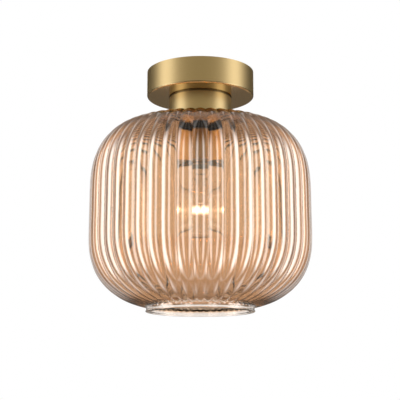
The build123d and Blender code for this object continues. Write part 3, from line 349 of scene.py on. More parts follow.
@dataclass(frozen=True)
class LampGlass(Finish):
    """Thin clear bulb glass, with a painted glow: a faint warm light that the glass itself gives off round
    the lit filament, wide and low.

    The painted glow lies on the front and the back of the bulb; its tilt is that of the camera's sight line.
    """

    ior: float = 1.5
    glow_centre: tuple[float, float, float] = (0.0, 0.0, -0.158)
    glow_shape: tuple[float, float, float] = (2.4, 1000.0, 0.7)
    glow_tilt: float = 11.1
    glow_mm: float = 10.0
    glow_strength: float = 1.0
    glow_tone: str = "FFF6EC"

    def paint(self, tree: bpy.types.NodeTree, output: bpy.types.Node) -> None:
        """Paints the bulb's glass.

        Args:
            tree: the material's tree.
            output: the material's output node.
        """
        place = add(tree, "ShaderNodeTexCoord").outputs["Object"]
        away = add(tree, "ShaderNodeMapping", {
            "Vector": place, "Location": self.glow_centre, "Scale": self.glow_shape,
            "Rotation": (math.radians(self.glow_tilt), 0.0, 0.0),
        }, vector_type="TEXTURE").outputs[0]
        reach = add(tree, "ShaderNodeVectorMath", {0: away}, operation="LENGTH").outputs["Value"]
        # Painted glow: the glass gives off warm light near the filament, strongest at its height and fading
        # outwards, for the halo round it
        painted_glow = add(tree, "ShaderNodeMapRange", {
            "Value": reach, "From Min": 0.0, "From Max": self.glow_mm * MM,
            "To Min": self.glow_strength, "To Max": 0.0,
        }, interpolation_type="SMOOTHERSTEP").outputs[0]
        shader = add(tree, "ShaderNodeBsdfPrincipled", {
            "Base Color": (1.0, 1.0, 1.0, 1.0), "Transmission Weight": 1.0, "IOR": self.ior,
            "Roughness": 0.0, "Emission Color": linear(self.glow_tone), "Emission Strength": painted_glow,
        })
        tree.links.new(shader.outputs[0], output.inputs["Surface"])


@dataclass(frozen=True)
class ClearGlass(BlownGlass):
    """Plain clear glass with a trace of unevenness."""

    def paint(self, tree: bpy.types.NodeTree, output: bpy.types.Node) -> None:
        """Paints the glass.

        Args:
            tree: the material's tree.
            output: the material's output node.
        """
        shader = add(tree, "ShaderNodeBsdfPrincipled", {
            "Base Color": (1.0, 1.0, 1.0, 1.0), "Transmission Weight": 1.0, "IOR": self.ior,
            "Roughness": 0.0, "Normal": self.waves(tree),
        })
        tree.links.new(shader.outputs[0], output.inputs["Surface"])


@dataclass(frozen=True)
class GlowingTungsten(Finish):
    """Tungsten wire at white heat, a little cooler towards its clamped ends."""

    half_span_mm: float = 16.0
    even_share: float = 0.6
    strength: float = 1500.0
    kelvin_middle: float = 3000.0
    kelvin_end: float = 2200.0

    def paint(self, tree: bpy.types.NodeTree, output: bpy.types.Node) -> None:
        """Paints the lit wire.

        Args:
            tree: the material's tree.
            output: the material's output node.
        """
        place = add(tree, "ShaderNodeTexCoord").outputs["Object"]
        across = add(tree, "ShaderNodeSeparateXYZ", {0: place}).outputs["X"]
        reach = add(tree, "ShaderNodeMath", {0: across}, operation="ABSOLUTE").outputs[0]
        heat = add(tree, "ShaderNodeMapRange", {
            "Value": reach,
            "From Min": self.even_share * self.half_span_mm * MM, "From Max": self.half_span_mm * MM,
            "To Min": self.kelvin_middle, "To Max": self.kelvin_end,
        }).outputs[0]
        colour = add(tree, "ShaderNodeBlackbody", {0: heat}).outputs[0]
        shader = add(tree, "ShaderNodeEmission", {"Color": colour, "Strength": self.strength})
        tree.links.new(shader.outputs[0], output.inputs["Surface"])


def finishes() -> dict[str, Finish]:
    """The finish of each material slot in the record."""
    round_axis = Brushing.ROUND_THE_AXIS
    lead_tones = {
        "brown": ("6E4128", "5F3620"), "blue": ("2E62AE", "285699"), "green": ("5F9F3C", "548E34"),
    }
    # Silicone lead insulation: matt and slightly rubbery
    insulation = {
        f"{colour}_lead": Moulded(
            f"{colour} silicone insulation", tone=tone, deep_tone=deep_tone, roughness=0.5,
            roughness_swing=0.06, grain_mm=0.5, bump_mm=0.01, ior=1.42,
        )
        for colour, (tone, deep_tone) in lead_tones.items()
    }
    return {
        # Spun brass, brushed round its axis and lacquered: broad soft bands of light, darker at the edges,
        # with painted shade darkening its colour in crevices and seams
        "satin_brass": WorkedMetal(
            "spun satin brass", tone="E6CD9B", deep_tone="E0C58F", roughness=0.4, roughness_swing=0.02,
            grain_mm=0.5, bump_mm=0.0008, brushing=round_axis, anisotropy=0.3, lacquer=0.1,
            flat_roughness=0.14, painted_shade_reach_mm=2.0,
        ),
        # Free-cutting brass as turned: brighter and yellower, with tool rings
        "plain_brass": WorkedMetal(
            "turned brass", tone="E3C685", deep_tone="CFAE68", roughness=0.22, roughness_swing=0.06,
            grain_mm=0.4, bump_mm=0.006, brushing=round_axis, anisotropy=0.3,
        ),
        # Phosphor bronze strip as rolled: redder than brass
        "bronze": WorkedMetal(
            "rolled phosphor bronze", tone="D9A878", deep_tone="C08C5C", roughness=0.3,
            roughness_swing=0.08, grain_mm=1.5, bump_mm=0.004,
        ),
        # Steel screws blackened in oil: nearly black, with a soft sheen
        "blackened_steel": WorkedMetal(
            "blackened steel", tone="4A4744", deep_tone="353230", roughness=0.42, roughness_swing=0.08,
            grain_mm=1.2, bump_mm=0.006,
        ),
        # Bright zinc on pressed steel: bluish grey with a faint bloom
        "zinc_steel": WorkedMetal(
            "bright zinc plated steel", tone="C6CACC", deep_tone="A9AEB2", roughness=0.32,
            roughness_swing=0.1, grain_mm=3.0, bump_mm=0.006,
        ),
        # Tin on a copper crimp: a warm pale grey
        "tinned_copper": WorkedMetal(
            "tinned copper", tone="D2CDC4", deep_tone="BDB6AB", roughness=0.3, roughness_swing=0.08,
            grain_mm=1.0, bump_mm=0.006,
        ),
        # Nickel on the drawn cap: bright, with drawing lines round it
        "nickel_cap": WorkedMetal(
            "nickel plated brass", tone="D8D2C6", deep_tone="C4BCAC", roughness=0.2,
            roughness_swing=0.05, grain_mm=0.5, bump_mm=0.004, brushing=round_axis, anisotropy=0.3,
        ),
        # A soldered contact: dull and lumpy
        "solder": WorkedMetal(
            "soft solder", tone="B4B4B6", deep_tone="96969A", roughness=0.38, roughness_swing=0.1,
            grain_mm=1.6, bump_mm=0.04,
        ),
        # Drawn nickel wire inside the lamp: grey and bright
        "nickel_wire": WorkedMetal(
            "drawn nickel wire", tone="C9C4BA", deep_tone="AFA99E", roughness=0.25,
            roughness_swing=0.05, grain_mm=0.4, bump_mm=0.002,
        ),
        # Moulded nylon: white and a little waxy
        "white_nylon": Moulded(
            "moulded nylon", tone="E6E5DE", deep_tone="DBD9D0", roughness=0.42, roughness_swing=0.05,
            grain_mm=0.5, bump_mm=0.02, ior=1.53,
        ),
        # Black moulded plastic bush: dull, with a fine spark-eroded skin
        "black_plastic": Moulded(
            "black moulded plastic", tone="242424", deep_tone="1C1C1C", roughness=0.5,
            roughness_swing=0.08, grain_mm=0.4, bump_mm=0.03,
        ),
        # Black rubber sheet, as cut: matt
        "black_rubber": Moulded(
            "black sheet rubber", tone="1D1C1B", deep_tone="151414", roughness=0.75,
            roughness_swing=0.08, grain_mm=0.6, bump_mm=0.04, ior=1.52,
        ),
        # Glazed porcelain: milky white under a clear glassy skin
        "white_porcelain": Moulded(
            "glazed porcelain", tone="EFEDE6", deep_tone="E6E2D8", roughness=0.3, roughness_swing=0.05,
            grain_mm=2.5, bump_mm=0.01, ior=1.52, glaze=0.9,
        ),
        # Black insulating glass in the cap's end: smooth and shining
        "black_glass": Moulded(
            "black cap glass", tone="17171B", deep_tone="101013", roughness=0.12, roughness_swing=0.03,
            grain_mm=1.2, bump_mm=0.02, ior=1.55, glaze=0.6,
        ),
        # Amber-filmed reeded glass: tan to look through, with white streaks down the reeds
        "amber_glass": AmberGlass("amber soda-lime glass"),
        # Thin clear glass of the stem: nearly unseen but for its edges
        "clear_glass": ClearGlass("clear lamp glass"),
        # Tungsten at white heat: the warm bright line in the bulb
        "tungsten": GlowingTungsten("glowing tungsten"),
        **insulation,
    }


# Mesh helpers


def skin(name: str, rows: np.ndarray, looped: bool, sharp: float = SHARP_ANGLE) -> bpy.types.Object:
    """Skins a stack of closed rings into one mesh.

    Args:
        name: the object's name.
        rows: points in metres, by ring, by place round the ring, by axis.
        looped: True where the last ring joins the first, as in a closed wall; else the ends are capped.
        sharp: edges that turn more than this angle stay crisp.

    Returns:
        The new object, linked to the scene.
    """
    count, columns, _ = rows.shape
    vertices = rows.reshape(-1, 3)
    steps = count if looped else count - 1
    this_row = np.arange(steps)[:, None] * columns
    next_row = ((np.arange(steps)[:, None] + 1) % count) * columns
    here = np.arange(columns)[None, :]
    beside = (here + 1) % columns
    faces = np.stack([this_row + here, next_row + here, next_row + beside, this_row + beside], axis=-1)
    faces = faces.reshape(-1, 4).tolist()
    if not looped:
        faces.append(list(range(columns)))
        faces.append(list(range((count - 1) * columns, count * columns))[::-1])
    mesh = bpy.data.meshes.new(name)
    mesh.from_pydata(vertices.tolist(), [], faces)
    tidy = bmesh.new()
    tidy.from_mesh(mesh)
    bmesh.ops.remove_doubles(tidy, verts=tidy.verts, dist=1e-7)
    bmesh.ops.recalc_face_normals(tidy, faces=tidy.faces)
    tidy.to_mesh(mesh)
    tidy.free()
    mesh.shade_smooth()
    mesh.set_sharp_from_angle(angle=sharp)
    piece = bpy.data.objects.new(name, mesh)
    bpy.context.scene.collection.objects.link(piece)
    return piece


def smooth_line(
    points: Sequence[tuple[float, float]], start: tuple[float, float], end: tuple[float, float], count: int
) -> tuple[np.ndarray, np.ndarray]:
    """A smooth curve through points, with even steps along it.

    Args:
        points: the points that the curve passes through.
        start: the curve's heading at its first point.
        end: the curve's heading at its last point.
        count: how many points to give back.

    Returns:
        The points on the curve, and the curve's heading at each.
    """
    knots = np.array(points, float)
    spans = np.linalg.norm(np.diff(knots, axis=0), axis=1)
    size = len(knots)
    matrix = np.zeros((size, size))
    right = np.zeros((size, 2))
    matrix[0, 0] = matrix[-1, -1] = 1
    right[0], right[-1] = np.array(start) / math.hypot(*start), np.array(end) / math.hypot(*end)
    for i in range(1, size - 1):
        before, after = spans[i - 1], spans[i]
        matrix[i, i - 1:i + 2] = after, 2 * (before + after), before
        slopes = (knots[i] - knots[i - 1]) / before, (knots[i + 1] - knots[i]) / after
        right[i] = 3 * (after * slopes[0] + before * slopes[1])
    headings = np.linalg.solve(matrix, right)
    places = np.concatenate([[0], np.cumsum(spans)])
    at = np.linspace(0, places[-1], count)
    span = np.clip(np.searchsorted(places, at, side="right") - 1, 0, size - 2)
    share = ((at - places[span]) / spans[span])[:, None]
    long = spans[span][:, None]
    p0, p1, m0, m1 = knots[span], knots[span + 1], headings[span] * long, headings[span + 1] * long
    curve = (
        (2 * share**3 - 3 * share**2 + 1) * p0 + (share**3 - 2 * share**2 + share) * m0
        + (3 * share**2 - 2 * share**3) * p1 + (share**3 - share**2) * m1
    )
    heading = (
        (6 * share**2 - 6 * share) * (p0 - p1) + (3 * share**2 - 4 * share + 1) * m0
        + (3 * share**2 - 2 * share) * m1
    )
    return curve, heading / np.linalg.norm(heading, axis=1, keepdims=True)


def arc(centre: tuple[float, float], radius: float, first: float, last: float, steps: int) -> list:
    """Points on an arc of an outline.

    Args:
        centre: the arc's centre, as radius from the axis and height.
        radius: the arc's radius.
        first: where it starts, in degrees from outward towards up.
        last: where it ends.
        steps: how many steps it takes.

    Returns:
        The points, both ends included.
    """
    turns = [math.radians(first + (last - first) * i / steps) for i in range(steps + 1)]
    return [(centre[0] + radius * math.cos(t), centre[1] + radius * math.sin(t)) for t in turns]


def lathe(outline: Sequence[tuple[float, float]], columns: int = 128) -> np.ndarray:
    """Turns an outline about the axis of the light.

    Args:
        outline: points in mm, as radius from the axis and height.
        columns: how many points each ring has.

    Returns:
        The rings, in metres, as skin takes them.
    """
    turns = np.linspace(0, 2 * math.pi, columns, endpoint=False)
    radii = np.array([p[0] for p in outline])[:, None]
    heights = np.array([p[1] for p in outline])[:, None] + 0 * turns[None, :]
    return np.stack([radii * np.cos(turns), radii * np.sin(turns), heights], axis=-1) * MM


def dress(piece: bpy.types.Object, material: bpy.types.Material) -> None:
    """Gives a piece one material all over."""
    if not piece.data.materials:
        piece.data.materials.append(material)
    for index in range(len(piece.data.materials)):
        piece.data.materials[index] = material


@dataclass
class Workshop:
    """The materials, made once each, and the way a finished piece joins the light."""

    recipes: dict[str, Finish] = field(default_factory=finishes)
    made: dict[str, bpy.types.Material] = field(default_factory=dict)

    def material(self, slot: str) -> bpy.types.Material:
        """The material of a slot of the record, made at its first use."""
        if slot not in self.made:
            self.made[slot] = self.recipes[slot].material()
        return self.made[slot]

    def special(self, finish: Finish) -> bpy.types.Material:
        """A material that only one piece has."""
        if finish.name not in self.made:
            self.made[finish.name] = finish.material()
        return self.made[finish.name]

    def fit(
        self, piece: bpy.types.Object, body: Body, slot: str, stands_for: Sequence[str] = (),
        finish: Optional[Finish] = None,
    ) -> bpy.types.Object:
        """Dresses a new piece and lets it ride on its body.

        Args:
            piece: the new piece, in place.
            body: the body that carries it.
            slot: the record's material slot that its finish comes from.
            stands_for: the nodes that it stands for.
            finish: the piece's own finish, where it isn't the slot's.

        Returns:
            The same piece.
        """
        dress(piece, self.special(finish) if finish else self.material(slot))
        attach(piece, body.value)
        if stands_for:
            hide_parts(*stands_for)
        LOG.info("%s: %d faces", piece.name, len(piece.data.polygons) if piece.type == "MESH" else 0)
        return piece

    def dress_nodes(self, record: dict, nodes: dict[str, bpy.types.Object]) -> None:
        """Gives every node that stays its slot's finish.

        Args:
            record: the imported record.
            nodes: the node objects by name.
        """
        for part in record["subparts"]:
            dress(nodes[part["node"]], self.material(part["material_slot"]))
            LOG.info("%s: %s", part["node"], part["material_slot"])


# The light's pieces


@dataclass
class GlassShade:
    """The bell of reeded amber glass: a flat top with a hole, then ribs down to a plain collar with a lip.

    Sizes are in mm. The crest line is the same as the solid's.
    """

    crest: tuple[tuple[float, float], ...] = (
        (48.0, -61.8), (68.6, -61.8), (85.3, -65.0), (99.1, -73.5), (109.6, -85.5), (116.8, -99.8),
        (120.5, -115.4), (121.9, -135.0), (122.1, -165.0), (122.2, -192.0), (120.9, -208.2), (116.3, -224.0),
        (107.9, -238.1), (96.2, -249.6), (82.3, -258.1), (67.0, -263.6), (56.0, -266.1),
    )
    ribs: int = 48
    rib_height_to_width: float = 0.1375
    fade_start: float = 68.0
    fade_end: float = 48.0
    fade_height: float = 4.0
    groove_softness: float = 0.06
    wall: float = 3.2
    inner_rib_share: float = 0.8
    inner_softness: float = 0.2
    hole: float = 6.1
    top_thickness: float = 3.0
    collar_radius: float = 58.9
    collar_bore: float = 54.4
    lip: float = 0.7
    bottom: float = -271.2
    collar_blend: float = 0.35
    rim_coat: float = 0.2
    outer_rows: int = 84
    inner_rows: int = 60
    flat_rings: tuple[float, ...] = (20.0, 34.0)
    inner_flat_rings: tuple[float, ...] = (44.0, 34.0, 20.0)
    rim_height: float = 3.6
    lip_top: float = 2.4
    lip_middle: float = 1.3
    lip_radius: float = 0.8
    bore_height: float = 3.0
    low_part: float = -200.0
    first_heading: tuple[float, float] = (1.0, 0.0)
    last_heading: tuple[float, float] = (-1.0, -0.2)
    sharp_angle: float = math.radians(60)
    places_on_rib: tuple[float, ...] = (
        -0.5, -0.47, -0.43, -0.36, -0.25, -0.12, 0.0, 0.12, 0.25, 0.36, 0.43, 0.47,
    )

    def turns(self) -> np.ndarray:
        """The angles round the shade where the mesh has columns, in ribs from a crest."""
        return np.array([rib + place for rib in range(self.ribs) for place in self.places_on_rib])

    def drop(self, softness: float) -> np.ndarray:
        """How far each column lies under the crests, as a share of the rib's depth.

        Args:
            softness: how rounded the grooves are, in half rib widths.
        """
        turns = self.turns()
        across = 2 * np.abs(turns - np.round(turns))
        across = 1 - np.hypot(1 - across, softness)
        height = 2 * self.rib_height_to_width
        arc_radius = (1 + height**2) / (2 * height)
        return (arc_radius - np.sqrt(arc_radius**2 - across**2)) / height

    def rib_depth(self, radius: np.ndarray, height: np.ndarray) -> np.ndarray:
        """Depth of the grooves at places on the crest line."""
        full = self.rib_height_to_width * 2 * math.pi * radius / self.ribs
        fade = np.clip((radius - self.fade_end) / (self.fade_start - self.fade_end), 0, 1)
        return np.where(height < self.crest[0][1] - self.fade_height, full, full * fade)

    def ring_rows(
        self, line: np.ndarray, heading: np.ndarray, inset: float, share: float, softness: float,
        collar: float,
    ) -> np.ndarray:
        """Ribbed rings along the crest line.

        Args:
            line: points of the crest line, as radius and height.
            heading: the line's heading at each.
            inset: how far the rings lie inside the crest line.
            share: the ribs' depth, as a share of the outer ribs'.
            softness: how rounded the grooves are.
            collar: the radius that the rings never go inside, low down.

        Returns:
            Radius and height of every point, by ring and column.
        """
        outward = np.stack([-heading[:, 1], heading[:, 0]], axis=1)
        depth = self.rib_depth(line[:, 0], line[:, 1]) * share
        under = inset + depth[:, None] * self.drop(softness)[None, :]
        radius = line[:, 0][:, None] - under * outward[:, 0][:, None]
        height = line[:, 1][:, None] - under * outward[:, 1][:, None]
        spread = np.sqrt((radius - collar) ** 2 + self.collar_blend**2)
        low = line[:, 1][:, None] < self.low_part
        radius = np.where(low, (radius + collar + spread) / 2, radius)
        return np.stack([radius, height], axis=-1)

    def plain_rows(self, outline: Sequence[tuple[float, float]]) -> np.ndarray:
        """Round rings without ribs."""
        return np.repeat(np.array(outline, float)[:, None, :], len(self.turns()), axis=1)

    def outline_rows(self) -> tuple[np.ndarray, np.ndarray]:
        """All rings of the wall: over the outside, round the rim, and back up the inside.

        Returns:
            The rings, and for each ring 1 where the glass is coated, else 0.
        """
        top = self.crest[0][1]
        ends = self.first_heading, self.last_heading
        line, heading = smooth_line(self.crest, *ends, self.outer_rows)
        outside = self.ring_rows(line, heading, 0, 1, self.groove_softness, self.collar_radius)
        inner_line, inner_heading = smooth_line(self.crest, *ends, self.inner_rows)
        inside = self.ring_rows(
            inner_line, inner_heading, self.wall, self.inner_rib_share, self.inner_softness,
            self.collar_bore,
        )[::-1]
        lip, low = self.lip_radius, self.bottom
        rim = [
            (self.collar_radius, low + self.rim_height), (self.collar_radius, low + self.lip_top),
            *arc((self.collar_radius + self.lip - lip, low + self.lip_middle), lip, 60, -90, 6),
            *arc((self.collar_bore + lip, low + lip), lip, 270, 180, 5),
            (self.collar_bore, low + self.bore_height),
        ]
        under = top - self.top_thickness
        flat = [(radius, top) for radius in (self.hole, *self.flat_rings)]
        underside = [(radius, under) for radius in (*self.inner_flat_rings, self.hole)]
        rows = np.concatenate([
            self.plain_rows(flat), outside, self.plain_rows(rim), inside, self.plain_rows(underside),
        ])
        uncoated = len(inside) + len(underside)
        coated = [1.0] * (len(flat) + len(outside)) + [self.rim_coat] * len(rim) + [0.0] * uncoated
        return rows, np.array(coated)

    def build(self, workshop: Workshop) -> None:
        """Makes the shade."""
        rows, coated = self.outline_rows()
        angle = self.turns() * 2 * math.pi / self.ribs
        radius, height = rows[..., 0], rows[..., 1]
        points = np.stack([radius * np.cos(angle), radius * np.sin(angle), height], axis=-1) * MM
        shade = skin("reeded_glass_shade", points, looped=True, sharp=self.sharp_angle)
        film = shade.data.attributes.new("coated", "FLOAT", "POINT")
        film.data.foreach_set("value", np.repeat(coated, len(self.turns())).astype(float))
        workshop.fit(shade, Body.FIXTURE, "amber_glass", ["glass_shade"])


@dataclass
class ScrewThread:
    """A rolled knuckle thread as on a lamp cap and its shell, right-handed. Sizes are in mm."""

    pitch: float = 3.629
    depth: float = 0.75
    steps_per_pitch: int = 10
    columns: int = 72

    def wave(self, outline: Sequence[tuple[float, float]], top: float, bottom: float) -> np.ndarray:
        """Turns an outline about the axis and rolls a thread into it between two heights.

        Args:
            outline: points in mm, as radius from the axis and height.
            top: where the thread starts.
            bottom: where it ends.

        Returns:
            The rings, in metres.
        """
        rings = lathe(outline, self.columns)
        turn = np.linspace(0, 1, self.columns, endpoint=False)[None, :]
        height = rings[..., 2] / MM
        fade = np.clip(np.minimum(top - height, height - bottom) / (self.pitch / 2), 0, 1)
        phase = 2 * math.pi * (height / self.pitch - turn)
        radius = np.hypot(rings[..., 0], rings[..., 1])
        share = 1 + np.where(radius > 0, fade * self.depth * MM * (np.cos(phase) - 1) / 2 / radius, 0)
        rings[..., 0] *= share
        rings[..., 1] *= share
        return rings

    def heights(self, top: float, bottom: float) -> list[float]:
        """Heights of the rings that a thread between two heights needs."""
        count = max(2, int((top - bottom) / self.pitch * self.steps_per_pitch))
        return [top + (bottom - top) * i / count for i in range(count + 1)]


@dataclass
class Bulb:
    """The lamp: its threaded cap and its coiled filament; its glass, stem and wires are the solids'.

    Sizes are in mm.
    """

    thread: ScrewThread = field(default_factory=ScrewThread)
    cap_radius: float = 13.15
    cap_wall: float = 0.35
    shoulder_radius: float = 10.5
    shoulder_height: float = 2.4
    skirt_radius: float = 13.4
    skirt_height: float = 4.0
    thread_foot: float = 5.5
    foot_chamfer: float = 0.2
    insulator_radius: float = 7.5
    filament_radius: float = 0.36
    filament_wire: float = 0.13
    filament_end_inset: float = 0.5
    filament_turns: int = 44
    points_per_turn: int = 12

    def cap(self, workshop: Workshop) -> None:
        """Makes the cap with its rolled thread."""
        low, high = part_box("bulb_cap")
        top, bottom = high.z / MM, low.z / MM
        thread_top, thread_bottom = top - self.shoulder_height, bottom + self.thread_foot
        heights = self.thread.heights(thread_top, thread_bottom)
        outer = [(self.insulator_radius, top), (self.shoulder_radius, top), (self.cap_radius, thread_top)]
        outer += [(self.cap_radius, height) for height in heights[1:]]
        outer += [
            (self.skirt_radius, bottom + self.skirt_height),
            (self.skirt_radius, bottom + self.foot_chamfer),
            (self.skirt_radius - self.cap_wall / 2, bottom),
        ]
        inner = [
            (max(radius - self.cap_wall, self.insulator_radius), min(height, top - self.cap_wall))
            for radius, height in outer[::-1]
        ]
        rings = self.thread.wave(outer + inner, thread_top, thread_bottom)
        cap = skin("threaded_lamp_cap", rings, looped=True)
        workshop.fit(cap, Body.BULB, "nickel_cap", ["bulb_cap"])

    def filament(self, workshop: Workshop) -> None:
        """Makes the filament as a fine coil along its sagging arc."""
        low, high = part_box("bulb_filament")
        half = (high.x - low.x) / 2 - self.filament_radius * MM
        inset = self.filament_end_inset * MM
        end_z = high.z - inset
        sag = end_z - (low.z + inset)
        count = self.filament_turns * self.points_per_turn
        line = bpy.data.curves.new("coiled_filament", "CURVE")
        line.dimensions = "3D"
        line.bevel_depth = self.filament_wire * MM
        line.bevel_resolution = 1
        line.use_fill_caps = True
        spline = line.splines.new("POLY")
        spline.points.add(count)
        for index in range(count + 1):
            share = 2 * index / count - 1
            turn = 2 * math.pi * self.filament_turns * index / count
            coil = self.filament_radius * MM
            middle = end_z - sag * (1 - share**2)
            spline.points[index].co = (
                share * half, coil * math.cos(turn), middle + coil * math.sin(turn), 1
            )
        curve = bpy.data.objects.new("filament_path", line)
        mesh = bpy.data.meshes.new_from_object(curve)
        mesh.name = "coiled_filament"
        bpy.data.objects.remove(curve)
        mesh.shade_smooth()
        coil_piece = bpy.data.objects.new("coiled_filament", mesh)
        bpy.context.scene.collection.objects.link(coil_piece)
        workshop.fit(coil_piece, Body.BULB, "tungsten", ["bulb_filament"])

    def glass(self, workshop: Workshop, nodes: dict[str, bpy.types.Object]) -> None:
        """Gives the bulb's own glass its finish."""
        dress(nodes["bulb_glass"], workshop.special(LampGlass("clear lamp glass, lit")))

    def build(self, workshop: Workshop, nodes: dict[str, bpy.types.Object]) -> None:
        """Makes the bulb's pieces."""
        self.cap(workshop)
        self.filament(workshop)
        self.glass(workshop, nodes)


# The studio


@dataclass
class Camera:
    """The camera at the photograph's place and angle. The light hangs in front of it, a little above."""

    place: tuple[float, float, float] = (-0.0004, -1.131, -0.3685)
    tilt_degrees: float = 101.1
    lens_mm: float = 93.63
    sensor_mm: float = 36.0

    def build(self) -> None:
        """Makes the camera and gives it to the scene."""
        data = bpy.data.cameras.new("camera")
        data.lens = self.lens_mm
        data.sensor_width = self.sensor_mm
        data.clip_start = 0.01
        data.clip_end = 50
        camera = bpy.data.objects.new("camera", data)
        camera.location = self.place
        camera.rotation_euler = (math.radians(self.tilt_degrees), 0, 0)
        bpy.context.scene.collection.objects.link(camera)
        bpy.context.scene.camera = camera


@dataclass(frozen=True)
class Panel:
    """An upright panel of light on both sides of the room, with soft edges.

    Angles are in degrees. Its brightness differs for satin metal and for bare glass, as exposure needs.
    """

    azimuth: float
    half_width: float
    edge: float
    in_satin: float
    in_glass: float


@dataclass(frozen=True)
class Fade:
    """How the panels' light falls off between two heights in the room, to a share of itself."""

    start: float
    end: float
    share: float


